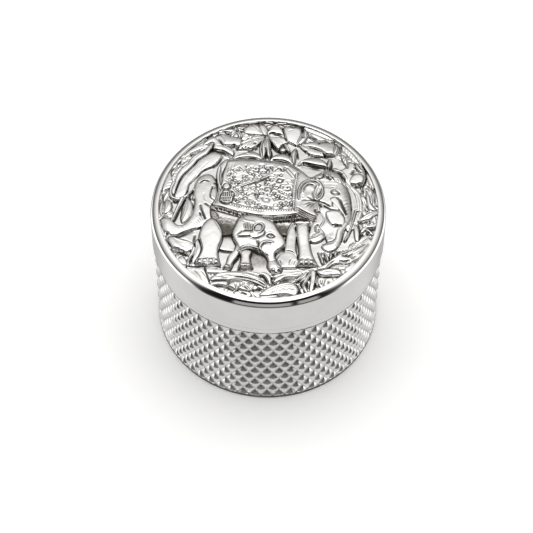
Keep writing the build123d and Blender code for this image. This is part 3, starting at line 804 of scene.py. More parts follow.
def calf(R):
    S, G = R.shape, R.groove
    # painted shade on the ground between the legs
    R.paint_shade_and_oxide([(470, 960), (560, 960), (700, 960), (860, 960), (870, 1100), (840, 1180), (660, 1200), (500, 1200), (466, 1080)], 0.20, 60)
    # hind legs
    S([(566, 1000), (548, 1070), (514, 1112), (502, 1160), (482, 1206), (512, 1216), (530, 1206), (548, 1160), (574, 1112), (600, 1066)], 0.50, 0.46, 0.7)
    S([(576, 1076), (650, 1082), (642, 1130), (650, 1176), (656, 1206), (576, 1210), (584, 1160), (588, 1120)], 0.60, 0.50, 0.75)
    for u, v in [(494, 1200), (512, 1204), (592, 1196), (614, 1194), (638, 1196)]:
        R.bump(u, v, 11, 0.30, 11)
    G([(570, 1208), (612, 1212), (656, 1206)], 5, 0.2, taper=False)
    # far legs and shadows behind
    R.paint_shade_and_oxide([(650, 1080), (710, 1086), (744, 1120), (748, 1176), (704, 1190), (656, 1180)], 0.30, 26)
    # body
    S([(538, 990), (530, 950), (552, 890), (568, 846), (604, 826), (660, 824), (716, 842), (756, 860), (790, 888), (808, 926), (828, 962), (852, 1000), (854, 1040), (836, 1066), (800, 1092), (792, 1114), (804, 1150), (826, 1186), (836, 1216), (818, 1238), (786, 1240), (762, 1224), (746, 1190), (748, 1150), (736, 1118), (712, 1094), (690, 1090), (640, 1068), (586, 1086), (562, 1040)], 0.66, 0.66, 1.5, tilt=(0, 0.05))
    G([(684, 1010), (692, 1044), (689, 1071)], 8, 0.5)
    G([(573, 1100), (570, 1125), (551, 1152), (530, 1187)], 5, 0.42)
    # girth rope
    R.ridge([(574, 1090), (596, 1066), (640, 1060), (690, 1074)], 7, 0.28)
    G([(586, 1050), (606, 1046), (642, 1044), (686, 1056)], 3, 0.22)
    G([(580, 1102), (606, 1078), (642, 1074), (690, 1090)], 4, 0.30)
    # saddle cloth with close hatching
    R.patch([(582, 872), (620, 884), (660, 890), (664, 940), (648, 954), (608, 952)], 0.06, 0.2, 0.2)
    for k in range(8):
        G([(598 + 8 * k, 888 + k), (604 + 8 * k, 920), (608 + 7 * k, 946)], 2.8, 0.20 + 0.10 * (k % 2))
    for k in range(7):
        G([(596, 894 + 8 * k), (660, 896 + 8 * k)], 1.8, 0.04, taper=False)
    R.paint_shade_and_oxide([(590, 880), (620, 888), (660, 892), (666, 936), (640, 952), (610, 950)], 0.40, 12)
    R.ridge([(588, 850), (604, 874), (640, 884), (660, 888)], 6, 0.16)
    G([(584, 864), (604, 886), (640, 896)], 3.4, 0.14)
    G([(606, 945), (630, 947), (656, 944)], 5.5, 0.30, taper=False)
    R.patch([(558, 984), (580, 966), (600, 956), (640, 956), (700, 952), (690, 972), (640, 982), (590, 986)], 0.12, 0.3, 0.5)
    G([(560, 976), (578, 964), (590, 946)], 5, 0.44)
    G([(560, 990), (600, 991), (640, 990), (668, 984)], 4.6, 0.42)
    # rounded end of the trunk, with its two knobs
    R.bump(790, 1196, 34, 0.16, 30)
    R.bump(782, 1222, 12, 0.20, 12)
    G([(768, 1230), (766, 1214), (782, 1206), (796, 1216), (796, 1230)], 3.4, 0.18)
    R.bump(816, 1212, 8, 0.16, 7)
    G([(806, 1206), (812, 1200), (822, 1204)], 3.4, 0.18)
    R.bump(816, 1228, 10, -0.30, 6)
    G([(748, 1150), (770, 1158), (796, 1148)], 3.2, 0.14)
    # mouth roll
    R.ridge([(778, 1034), (748, 1027), (722, 1032), (704, 1048), (700, 1066), (708, 1088)], 6.5, 0.20)
    G([(712, 1076), (712, 1058), (730, 1042), (752, 1039), (770, 1043)], 4.2, 0.30)
    G([(694, 1050), (694, 1072), (704, 1096)], 4, 0.24)
    R.bump(746, 1117, 6, -0.24, 5)
    G([(724, 1084), (738, 1108), (748, 1124)], 3, 0.12)
    for k in range(4):
        v = 1108 + 14 * k
        G([(752 + 5 * k, v + 5), (770 + 5 * k, v), (790 + 4 * k, v - 5)], 2.6, 0.07)
    # painted shade on the right of the calf's face
    R.paint_shade_and_oxide([(800, 980), (840, 990), (850, 1040), (820, 1066), (790, 1050)], 0.22, 24)
    G([(852, 1040), (832, 1066), (806, 1086), (790, 1112)], 5, 0.34)
    # eye
    G([(744, 984), (756, 974), (772, 974), (788, 988), (772, 997), (756, 995)], 4.2, 0.42, closed=True)
    R.bump(768, 985, 6.5, -0.4, 5)
    G([(736, 962), (762, 950), (792, 964)], 3, 0.08)
    # ear: a curled ring that runs out into a scoop
    def ring(ru, rv, a0=0, a1=330):
        return [(690 + ru * np.cos(t) - 0.22 * ru * np.sin(t), 929 + rv * np.sin(t)) for t in np.radians(np.arange(a0, a1 + 1, 30))]

    R.patch([(644, 990), (640, 974), (656, 964), (690, 966), (716, 950), (732, 950), (722, 974), (700, 990), (668, 1000)], 0.10, 0.2, 0.6)
    R.paint_shade_and_oxide(ring(26, 30), 0.44, 6)
    R.ridge(ring(30, 35), 4.2, 0.28, closed=True)
    G(ring(23, 28, -200, 40), 2.6, 0.30)
    G(ring(36, 43, -130, 130), 2.8, 0.40)
    G([(734, 946), (726, 976), (702, 996), (672, 1006), (640, 1000)], 4.4, 0.40)


def foreground(R):
    L, S, G, D, P = R.leaf, R.shape, R.groove, R.bump, R.patch

    def K(pts, r=6, depth=0.45, taper=True):
        G(pts, r, depth, taper=taper)

    # thin stem beside the trunk
    R.tube([(1306, 776), (1286, 772), (1278, 800), (1266, 850), (1246, 920), (1214, 994)], 6.5, 6, 0.56, 0.28, line=0.7)
    # ground under the feet
    S([(262, 1192), (350, 1198), (400, 1204), (520, 1222), (660, 1228), (760, 1250), (860, 1236), (960, 1214), (1060, 1186), (1110, 1180), (1040, 1216), (930, 1250), (800, 1270), (690, 1262), (560, 1244), (420, 1240), (330, 1236)], 0.62, 0.16, 0.8, cut=0.05, line=0.2)
    K([(244, 1190), (300, 1191), (360, 1192)], 5, 0.42, False)
    # left: fan leaf with a ragged edge, blades
    S([(150, 966), (200, 980), (250, 1000), (296, 1014), (306, 1050), (300, 1066), (270, 1084), (250, 1096), (222, 1082), (190, 1066), (168, 1050), (146, 1010)], 0.36, 0.40, 1.0)
    for k in range(5):
        G([(168 + 8 * k, 982 + 12 * k), (220 + 6 * k, 1012 + 10 * k), (282, 1026 + 10 * k)], 2.8, 0.11)
    K([(160, 966), (230, 985), (296, 1013)], 4, 0.30, False)
    K([(171, 964), (199, 972), (228, 959), (265, 942), (296, 926)], 6.5, 0.5)
    K([(162, 1062), (190, 1068), (212, 1077), (236, 1089), (260, 1106)], 9, 0.6, False)
    R.nicks([(170, 1064), (212, 1078), (258, 1104)], 12, 7, 0.5, 9)
    K([(126, 960), (132, 990), (150, 1020), (168, 1048)], 5, 0.32, False)
    D(139, 947, 10, -0.45, 7)
    L([(196, 1100), (226, 1132), (262, 1176)], 24, 0.16, 0.30, line=0.3)
    K([(212, 1130), (228, 1116)], 4, 0.3, False)
    S([(330, 990), (344, 1030), (351, 1072), (340, 1112), (320, 1148), (298, 1170), (294, 1140), (304, 1100), (312, 1060), (308, 1020), (316, 994)], 0.42, 0.34, 0.7)
    K([(330, 993), (345, 1034), (351, 1076), (339, 1115), (316, 1152)], 4.6, 0.40, False)
    G([(318, 1010), (322, 1060), (312, 1120)], 3, 0.12)
    R.tube([(304, 1060), (293, 1100), (276, 1140), (270, 1184)], 11, 8, 0.52, 0.32)
    K([(296, 1112), (284, 1140), (281, 1172)], 6.5, 0.48)
    K([(306, 950), (302, 985), (296, 1010)], 6, 0.42)
    # stripes at the lower left
    S([(262, 1202), (366, 1200), (378, 1226), (402, 1290), (410, 1320), (370, 1302), (320, 1264)], 0.20, 0.24, 0.8, line=0.3)
    for k, d in enumerate((0.16, 0.26, 0.12, 0.24)):
        G([(280 + 23 * k, 1208 + 4 * k), (312 + 19 * k, 1244), (346 + 14 * k, 1290 - 5 * k)], 4.2, d)
    K([(372, 1200), (383, 1240), (397, 1284), (413, 1328)], 5, 0.42, False)
    # big almond leaf, and a small rosette on a plate under it
    S([(404, 1304), (420, 1262), (470, 1236), (540, 1224), (600, 1228), (660, 1246), (712, 1280), (744, 1334), (700, 1324), (640, 1300), (580, 1286), (500, 1292), (440, 1298)], 0.48, 0.42, 1.0, tilt=(0, -0.05))
    G([(444, 1262), (490, 1276), (524, 1282)], 4, 0.26)
    G([(440, 1264), (500, 1255), (566, 1256)], 3.6, 0.22)
    G([(520, 1262), (560, 1256), (600, 1258)], 3, 0.16)
    K([(556, 1270), (600, 1274), (650, 1287), (700, 1309), (734, 1328)], 4.8, 0.40, False)
    for k in range(4):
        G([(604 + 28 * k, 1256 + 8 * k), (630 + 26 * k, 1262 + 10 * k), (650 + 24 * k, 1274 + 11 * k)], 2.8, 0.12)
    R.paint_shade_and_oxide([(460, 1262), (520, 1256), (560, 1262), (530, 1280), (490, 1276)], 0.2, 10)
    S([(410, 1326), (412, 1306), (450, 1300), (500, 1296), (520, 1316), (506, 1334), (460, 1326)], 0.40, 0.28, 0.6)
    K([(412, 1299), (450, 1294), (500, 1291)], 4.4, 0.34, False)
    K([(416, 1330), (460, 1326), (506, 1335)], 6, 0.5, False)
    S([(420, 1340), (470, 1336), (520, 1350), (548, 1366), (540, 1392), (490, 1376), (450, 1356)], 0.22, 0.26, 0.7, line=0.3)
    G([(488, 1360), (494, 1346), (504, 1340)], 3.2, 0.2)
    G([(500, 1374), (512, 1356), (524, 1352)], 3.2, 0.2)
    S([(512, 1332), (528, 1306), (560, 1297), (592, 1302), (622, 1312), (652, 1344), (662, 1362), (620, 1364), (580, 1354), (550, 1354)], 0.42, 0.34, 0.7)
    K([(504, 1334), (526, 1346), (548, 1360)], 8, 0.55)
    K([(512, 1320), (522, 1308)], 5, 0.42, False)
    for u, v, ry, turn in ((561, 1336, 16, 8), (573, 1342, 13, 0), (588, 1326, 12, -20), (603, 1318, 8, -30)):
        D(u, v, 5.5, -0.5, ry, turn)
    K([(598, 1330), (620, 1346), (640, 1360)], 5, 0.40)
    K([(612, 1322), (634, 1342), (652, 1358)], 4, 0.32)
    K([(572, 1356), (560, 1366), (552, 1392)], 5, 0.42, False)
    K([(656, 1352), (690, 1350), (728, 1347)], 8.5, 0.6)
    D(664, 1358, 7, -0.5, 11)
    S([(548, 1392), (558, 1368), (600, 1366), (646, 1374), (652, 1400), (620, 1410), (580, 1403)], 0.34, 0.28, 0.6)
    G([(580, 1376), (602, 1382), (630, 1392)], 5, 0.40)
    # low middle: long leaf, its upper half striped
    S([(660, 1424), (720, 1398), (820, 1384), (902, 1388), (908, 1402), (840, 1406), (770, 1420), (700, 1430)], 0.30, 0.28, 0.6)
    S([(700, 1394), (740, 1350), (800, 1320), (860, 1305), (902, 1310), (926, 1332), (932, 1364), (912, 1398), (860, 1392), (800, 1396), (740, 1402)], 0.46, 0.42, 1.0)
    for k in range(3):
        G([(736 + 6 * k, 1376 + 7 * k), (800 + 4 * k, 1342 + 11 * k), (866, 1322 + 13 * k), (914, 1330 + 15 * k)], 3, 0.14)
    for a, b in (((770, 1383), (792, 1375)), ((802, 1371), (832, 1365)), ((846, 1362), (870, 1358)), ((886, 1357), (910, 1357))):
        G([a, b], 3, 0.24)
    K([(716, 1420), (770, 1415), (820, 1402), (870, 1396), (906, 1402)], 4.4, 0.38, False)
    K([(918, 1314), (934, 1338), (939, 1372), (952, 1394)], 6.5, 0.5, False)
    R.paint_shade_and_oxide([(930, 1340), (946, 1360), (950, 1396), (920, 1398)], 0.35, 12)
    # leaves from the middle root
    S([(688, 1256), (706, 1237), (740, 1235), (766, 1260), (776, 1312), (758, 1318), (742, 1290), (720, 1264)], 0.56, 0.36, 0.8)
    K([(692, 1257), (722, 1263), (741, 1287), (754, 1310)], 6.5, 0.5)
    S([(782, 1304), (800, 1268), (840, 1250), (890, 1249), (954, 1238), (922, 1264), (880, 1270), (840, 1284), (812, 1310)], 0.56, 0.38, 0.9)
    K([(834, 1291), (860, 1277), (910, 1272)], 10, 0.6)
    K([(836, 1291), (802, 1308), (780, 1320)], 5.4, 0.45)
    D(780, 1250, 9, -0.55, 12)
    K([(774, 1262), (772, 1290), (770, 1316)], 4, 0.3)
    # right: blades fanning from a root
    for q, w in (((912, 1300), 14), ((940, 1296), 11), ((954, 1332), 12), ((1046, 1330), 14)):
        L([(1006, 1218), (0.5 * (1006 + q[0]) + 6, 0.5 * (1218 + q[1]) - 4), q], w, 0.46, 0.32)
    L([(956, 1306), (974, 1356), (992, 1388)], 13, 0.44, 0.32)
    S([(1006, 1214), (1036, 1222), (1036, 1280), (1020, 1350), (1004, 1396), (998, 1340), (1004, 1280)], 0.60, 0.36, 0.7)
    G([(1024, 1236), (1022, 1290), (1008, 1370)], 3, 0.10)
    K([(908, 1299), (930, 1299), (954, 1280), (992, 1234)], 6, 0.5, False)
    K([(985, 1300), (982, 1324), (977, 1346)], 6.5, 0.5)
    K([(948, 1304), (953, 1334)], 5, 0.42, False)
    K([(1038, 1240), (1038, 1300), (1022, 1352)], 4.4, 0.34)
    S([(1050, 1262), (1096, 1266), (1140, 1262), (1140, 1300), (1104, 1330), (1072, 1346), (1052, 1304)], 0.24, 0.26, 0.6)
    D(1071, 1296, 7.5, -0.55, 16)
    D(1119, 1300, 10, -0.55, 13)
    K([(1094, 1270), (1086, 1300), (1078, 1340)], 4, 0.3)
    S([(1140, 1262), (1200, 1262), (1244, 1216), (1206, 1290), (1160, 1302)], 0.24, 0.30, 0.7, line=0.3)
    S([(1040, 1232), (1060, 1208), (1110, 1197), (1160, 1199), (1186, 1214), (1198, 1244), (1150, 1246), (1090, 1256), (1064, 1252)], 0.48, 0.34, 0.8)
    K([(1054, 1215), (1080, 1207), (1112, 1199)], 6, 0.45)
    K([(1112, 1198), (1160, 1200), (1183, 1216), (1196, 1242)], 5.5, 0.48, False)
    K([(1046, 1238), (1064, 1255), (1110, 1259), (1150, 1251), (1208, 1257)], 6.5, 0.55, False)
    G([(1078, 1230), (1120, 1223), (1164, 1234)], 3.4, 0.24)
    G([(1090, 1242), (1130, 1236), (1160, 1240)], 3, 0.16)
    # long serrated leaf
    S([(1046, 1202), (1100, 1160), (1150, 1116), (1200, 1072), (1260, 1042), (1310, 1010), (1350, 976), (1406, 950), (1398, 990), (1352, 1060), (1310, 1112), (1270, 1142), (1240, 1168), (1190, 1162), (1140, 1172), (1096, 1200)], 0.42, 0.42, 1.0)
    for k in range(4):
        G([(1120 + 16 * k, 1168 - 4 * k), (1200 + 18 * k, 1108 + 2 * k), (1290 + 14 * k, 1040 + 10 * k), (1360 + 6 * k, 984 + 8 * k)], 3, 0.14)
    K([(1192, 1108), (1230, 1112), (1266, 1101)], 8, 0.5)
    K([(1176, 1150), (1216, 1153), (1244, 1143)], 7, 0.55)
    K([(1248, 1130), (1264, 1122), (1282, 1109)], 6.5, 0.5)
    K([(1234, 1158), (1248, 1190), (1256, 1208)], 5.4, 0.42)
    K([(1100, 1196), (1120, 1170), (1152, 1138)], 4.4, 0.34)
    K([(1366, 984), (1382, 974), (1398, 960)], 8, 0.55)
    K([(1300, 1096), (1330, 1060), (1364, 1010)], 4.4, 0.34)
    for k in range(5):
        L([(1190 + 22 * k, 1098 - 11 * k), (1218 + 22 * k, 1084 - 11 * k), (1248 + 22 * k, 1074 - 13 * k)], 8, 0.74, 0.20, line=0.5)
    S([(1210, 1200), (1240, 1172), (1262, 1150), (1290, 1160), (1260, 1206), (1232, 1226)], 0.24, 0.28, 0.7, line=0.3)
    # grass below the trunk
    for a, b, c in (((1066, 1102), (1070, 1088), (1076, 1074)), ((1104, 1150), (1094, 1132), (1082, 1106)), ((1090, 1166), (1076, 1130), (1060, 1092)), ((1112, 1136), (1108, 1118), (1110, 1100)), ((1140, 1100), (1140, 1088), (1146, 1078)), ((1176, 1080), (1180, 1070), (1190, 1062)), ((1208, 1078), (1206, 1066), (1200, 1054)), ((1228, 1070), (1222, 1060), (1218, 1050))):
        K([a, b, c], 5, 0.40)
    for a, b in (((1050, 1080), (1080, 1170)), ((1086, 1080), (1112, 1150)), ((1126, 1080), (1124, 1130)), ((1160, 1066), (1150, 1110))):
        L([b, (0.5 * (a[0] + b[0]) + 4, 0.5 * (a[1] + b[1])), a], 9, 0.46, 0.24, line=0.4)


DRAFT = 1.5  # steepest wall of a form


def draw():
    """Heights of the picture in mm over its ground, and the share of dark colour at each place: oxide in hollows and
    chased lines, and painted shade laid on in patches.
    """
    R = Relief()
    foliage(R)
    R.line *= 1 - 0.30 * np.clip((GX - 14.5) / 2.0, 0, 1)
    left_elephant(R)
    adult(R)
    cloth(R)
    head(R)
    calf(R)
    foreground(R)
    form = blurred(drafted(0.8 * R.h, DRAFT), 0.6)
    # the hand-worked surface is never quite even, and its lines wear unevenly
    rng = np.random.default_rng(11)
    uneven = [blurred(rng.normal(size=(N, N)), q) for q in (4.0, 11.0, 7.0)]
    uneven = [a / a.std() for a in uneven]
    h = form + blurred(R.d, 0.6) + 0.004 * uneven[0] + 0.012 * uneven[1]
    wear = np.clip(0.80 + 0.30 * uneven[2], 0.25, 1.2)
    gy, gx = np.gradient(blurred(form, 1.0), STEP)
    slope = np.hypot(gx, gy)
    steep = np.clip((slope - 0.45) / 1.3, 0, 1)
    low = np.clip(1 - form / 0.34, 0, 1)
    # darker colour from oxide in the hollows, the chased lines and a little on steep walls, plus painted shade from the
    # laid-on patches
    oxide_and_shade = 3.0 * (blurred(form, 1.7) - form) + 0.40 * (blurred(form, 7) - form) + 1.5 * (blurred(R.d, 2.0) - R.d) + 0.20 * steep * wear + 0.05 * low + R.tone + R.line * wear - 0.02
    return h, np.clip(oxide_and_shade, 0, 1)


# ---- meshes ---------------------------------------------------------------
def make_mesh(name, verts, faces, sharp=None, uv=None, marks=None):
    """A mesh object from millimetre points and a list of face arrays, each array of one corner count."""
    me = bpy.data.meshes.new(name)
    verts = np.asarray(verts, float) * 0.001
    me.vertices.add(len(verts))
    me.vertices.foreach_set("co", verts.astype(np.float32).ravel())
    loops = np.concatenate([f.ravel() for f in faces])
    totals = np.concatenate([np.full(len(f), f.shape[1]) for f in faces])
    starts = np.concatenate([[0], np.cumsum(totals)[:-1]])
    me.loops.add(len(loops))
    me.loops.foreach_set("vertex_index", loops.astype(np.int32))
    me.polygons.add(len(totals))
    me.polygons.foreach_set("loop_start", starts.astype(np.int32))
    me.polygons.foreach_set("loop_total", totals.astype(np.int32))
    me.polygons.foreach_set("use_smooth", np.ones(len(totals), bool))
    if uv is not None:
        layer = me.uv_layers.new(name="OFBake")
        layer.data.foreach_set("uv", np.asarray(uv, np.float32).ravel())
    for key, values in (marks or {}).items():
        a = me.attributes.new(key, "FLOAT", "POINT")
        a.data.foreach_set("value", np.asarray(values, np.float32))
    me.update(calc_edges=True)
    if sharp is not None:
        me.set_sharp_from_angle(angle=math.radians(sharp))
    obj = bpy.data.objects.new(name, me)
    bpy.context.scene.collection.objects.link(obj)
    return obj


def arc(cx, cz, r, a0, a1, n):
    """Points on an arc of a profile, angles in degrees from outwards towards up."""
    t = np.radians(np.linspace(a0, a1, n))
    return [(cx + r * math.cos(q), cz + r * math.sin(q)) for q in t]


def turned(name, profile, segments=256, sharp=28, painted_shade=None):
    """A closed profile of (radius, z) points, turned about the axis. A point at radius 0 closes on the axis."""
    p = np.asarray(profile, float)
    t = np.linspace(0, 2 * np.pi, segments, endpoint=False)
    verts, ring = [], []
    at = 0
    for r, z in p:
        if r < 1e-6:
            verts.append(np.array([[0, 0, z]]))
            ring.append(np.full(segments, at))
            at += 1
        else:
            verts.append(np.stack([r * np.cos(t), r * np.sin(t), np.full(segments, z)], 1))
            ring.append(np.arange(segments) + at)
            at += segments
    quads, tris = [], []
    n = len(p)
    closed = p[0, 0] > 1e-6 or p[-1, 0] > 1e-6
    for i in range(n if closed else n - 1):
        a, b = ring[i], ring[(i + 1) % n]
        a1, b1 = np.roll(a, -1), np.roll(b, -1)
        pole_a, pole_b = p[i, 0] < 1e-6, p[(i + 1) % n, 0] < 1e-6
        if pole_a and pole_b:
            continue
        if pole_a:
            tris.append(np.stack([a, b1, b], 1))
        elif pole_b:
            tris.append(np.stack([a, a1, b], 1))
        else:
            quads.append(np.stack([a, a1, b1, b], 1))
    faces = [np.concatenate(f) for f in (quads, tris) if f]
    verts = np.concatenate(verts)
    marks = {"painted_shade": painted_shade(verts)} if painted_shade else None
    return make_mesh(name, verts, faces, sharp, marks=marks)


def near_floor(v):
    """Painted contact shade: 1 round the edge it stands on, none above it or under the middle."""
    return np.clip((0.90 - v[:, 2]) / 0.3, 0, 1) * np.clip((np.hypot(v[:, 0], v[:, 1]) - BASE_R + 0.9) / 0.5, 0, 1)


def near_seam(v):
    """Painted shade in the seam's gap: 1 at the seam between lid and body, none a little way off it."""
    return 0.62 * np.clip(1.3 - np.abs(v[:, 2] - SEAM_Z) / 0.22, 0, 1)


def near_shoulder(v):
    """Painted shade: the seam's trace, and a broken dark line of shadow along the edge over the knurl."""
    turn = np.round(np.arctan2(v[:, 1], v[:, 0]) / (2 * np.pi) * 320).astype(int) % 320
    broken = np.random.default_rng(17).uniform(0.55, 1.1, 320)[turn]
    low = broken * np.clip(1.7 - (v[:, 2] - KNURL_Z) / 0.30, 0, 1)
    return np.maximum(near_seam(v), low)


def lid_band():
    b, ir = EDGE_BREAK, NECK_R + SLIP
    p = [(ir + LEAD_IN, SEAM_Z), (LID_R - b, SEAM_Z)]
    p += arc(LID_R - b, SEAM_Z + b, b, -60, 0, 4)
    p += [(LID_R, SEAM_Z + 0.3), (LID_R, SEAM_Z + 1.2), (LID_R, SEAM_Z + 3.6), (LID_R, RIM_Z - RIM_ROUND - 0.8)]
    p += arc(LID_R - RIM_ROUND, RIM_Z - RIM_ROUND, RIM_ROUND, 0, 90, 20)
    p += [(LIP_R + 0.1, RIM_Z), (LIP_R + 0.03, RIM_Z - 0.03), (LIP_R, RIM_Z - 0.1), (LIP_R, LIP_Z), (ir, LIP_Z), (ir, SEAM_Z + 2.0), (ir, SEAM_Z + LEAD_IN)]
    return turned("lid_band_polished", p, 320, painted_shade=near_seam)


def shoulder_ring():
    r0, b = NECK_R + SOLDER_GAP, EDGE_BREAK
    p = [(r0, KNURL_Z), (CREST_R - 0.05, KNURL_Z), (CREST_R, KNURL_Z + 0.05), (CREST_R, KNURL_Z + 0.22), (CREST_R, KNURL_Z + 0.52), (CREST_R, SEAM_Z - 0.3), (CREST_R, SEAM_Z - b)]
    p += [(CREST_R - 0.35 * b, SEAM_Z - 0.35 * b), (CREST_R - b, SEAM_Z), (r0, SEAM_Z)]
    return turned("shoulder_ring_polished", p, 320, painted_shade=near_shoulder)


def base_plate():
    e = BASE_EDGE
    p = [(0, 0.0), (8.0, 0.0), (16.0, 0.0), (BASE_R - e - 1.2, 0.0), (BASE_R - e, 0.0)]
    p += arc(BASE_R - e, e, e, -75, 0, 6)
    p += [(BASE_R, 0.45), (BASE_R, BASE_T - 0.06), (BASE_R - 0.06, BASE_T), (16.0, BASE_T), (8.0, BASE_T), (0, BASE_T)]
    return turned("base_plate_turned", p, 256, painted_shade=near_floor)


def inner_sleeve():
    r1, r0, c = NECK_R, NECK_R - NECK_T, NECK_ROUND
    p = [(r0, BASE_T), (r1, BASE_T), (r1, 12.0), (r1, SEAM_Z), (r1, NECK_TOP - c)]
    p += arc(r1 - c, NECK_TOP - c, c, 0, 90, 7)[1:]
    p += arc(r0 + c, NECK_TOP - c, c, 90, 180, 7)
    p += [(r0, SEAM_Z), (r0, 12.0)]
    return turned("inner_sleeve_drawn", p, 256)


def lid_backing():
    p = [(0, BACKING_Z), (10.0, BACKING_Z), (PLATE_R - 0.08, BACKING_Z), (PLATE_R, BACKING_Z + 0.08), (PLATE_R, PLATE_SEAT), (10.0, PLATE_SEAT), (0, PLATE_SEAT)]
    return turned("lid_backing_disc", p, 256)


KNURLS = 58  # diamonds round
KNURL_PITCH = 4.0  # height of a diamond
KNURL_HEIGHT = 0.40  # of a diamond over its grooves
KNURL_CELLS = 8  # mesh cells to half a diamond
KNURL_FLOOR = 0.04  # share of a half diamond that is the groove's floor
KNURL_LEAD = 0.45  # the knurl's top edge falls back this far under the shoulder
KNURL_START = 0.35  # first row of points below the shoulder


def knurled_sleeve():
    """Raised diamonds with slightly rounded points, between crossing grooves. Cell diagonals lie along the grooves."""
    m = KNURL_CELLS
    cols = KNURLS * 2 * m
    dz = KNURL_PITCH / (2 * m)
    first = KNURL_Z - KNURL_START
    steps = np.arange(-int(KNURL_START / dz), int((first - BASE_T) / dz) + 1)
    z = first - steps * dz
    z = z[(z < KNURL_Z - 0.3 * dz) & (z > BASE_T + 0.3 * dz)]
    count = np.round((first - z) / dz).astype(int)
    z = np.concatenate([[KNURL_Z], z, [BASE_T]])
    count = np.concatenate([[count[0] - 1], count, [count[-1] + 1]])
    t = np.arange(cols) / cols * KNURLS
    T, Z = np.meshgrid(t, z)
    s = (first - Z) / KNURL_PITCH
    ca, cb = np.abs((T + s) % 1.0 - 0.5) * 2, np.abs((T - s) % 1.0 - 0.5) * 2
    ca, cb = 1 - ca, 1 - cb  # 0 at a point of a diamond, 1 in a groove
    far = np.minimum((ca**5 + cb**5) ** (1 / 5) / (1 - KNURL_FLOOR), 1)
    up = 1 - far**1.5
    # no two diamonds quite alike, and none quite smooth
    rng = np.random.default_rng(3)
    worn = 1 - 0.14 * rng.random((KNURLS, KNURLS))
    up = up * worn[np.round(T + s).astype(int) % KNURLS, np.round(T - s).astype(int) % KNURLS]
    r = CREST_R - KNURL_HEIGHT * (1 - up) - 0.02 * rng.random(T.shape)
    # the grooves darken a little with oxide; the top row, tucked under the shoulder, is painted shade
    groove_oxide_and_shade = 1 - np.clip(up * 5, 0, 1)
    r[0] -= KNURL_LEAD
    groove_oxide_and_shade[0] = 1.2
    ang = T / KNURLS * 2 * np.pi
    outer = np.stack([r * np.cos(ang), r * np.sin(ang), Z], -1).reshape(-1, 3)
    nr = len(z)
    i, j = np.meshgrid(np.arange(nr - 1), np.arange(cols), indexing="ij")
    j1 = (j + 1) % cols
    v00, v01, v10, v11 = i * cols + j, i * cols + j1, (i + 1) * cols + j, (i + 1) * cols + j1
    # split each cell along the groove that is nearest to it
    falling = (np.floor(count[:-1] / m).astype(int)[:, None] + j // m) % 2 == 1
    tri = np.where(
        falling[..., None, None],
        np.stack([np.stack([v00, v10, v11], -1), np.stack([v00, v11, v01], -1)], -2),
        np.stack([np.stack([v00, v10, v01], -1), np.stack([v10, v11, v01], -1)], -2),
    ).reshape(-1, 3)
    inner_r = NECK_R + SOLDER_GAP
    n_in = cols // 4
    ai = np.arange(n_in) / n_in * 2 * np.pi
    top_in = np.stack([inner_r * np.cos(ai), inner_r * np.sin(ai), np.full(n_in, KNURL_Z)], 1)
    low_in = top_in - [0, 0, KNURL_Z - BASE_T]
    base = len(outer)
    k = np.arange(n_in)
    k1 = (k + 1) % n_in
    fans = []
    for row, start, flip in ((0, base, False), ((nr - 1) * cols, base + n_in, True)):
        for h in range(4):
            o0, o1 = row + k * 4 + h, row + (k * 4 + h + 1) % cols
            f = np.stack([o0, o1, start + (k if h < 2 else k1)], 1)
            fans.append(f[:, ::-1] if flip else f)
        f = np.stack([row + k * 4 + 2, start + k1, start + k], 1)
        fans.append(f[:, ::-1] if flip else f)
    wall = np.stack([base + k, base + k1, base + n_in + k1, base + n_in + k], 1)
    verts = np.concatenate([outer, top_in, low_in])
    groove_oxide_and_shade = np.concatenate([groove_oxide_and_shade.ravel(), np.zeros(2 * n_in)])
    return make_mesh("knurled_sleeve_cut", verts, [np.concatenate([tri] + fans), wall], 60, marks={"groove_oxide_and_shade": groove_oxide_and_shade})


PLATE_CELLS = 520  # quads across the picture


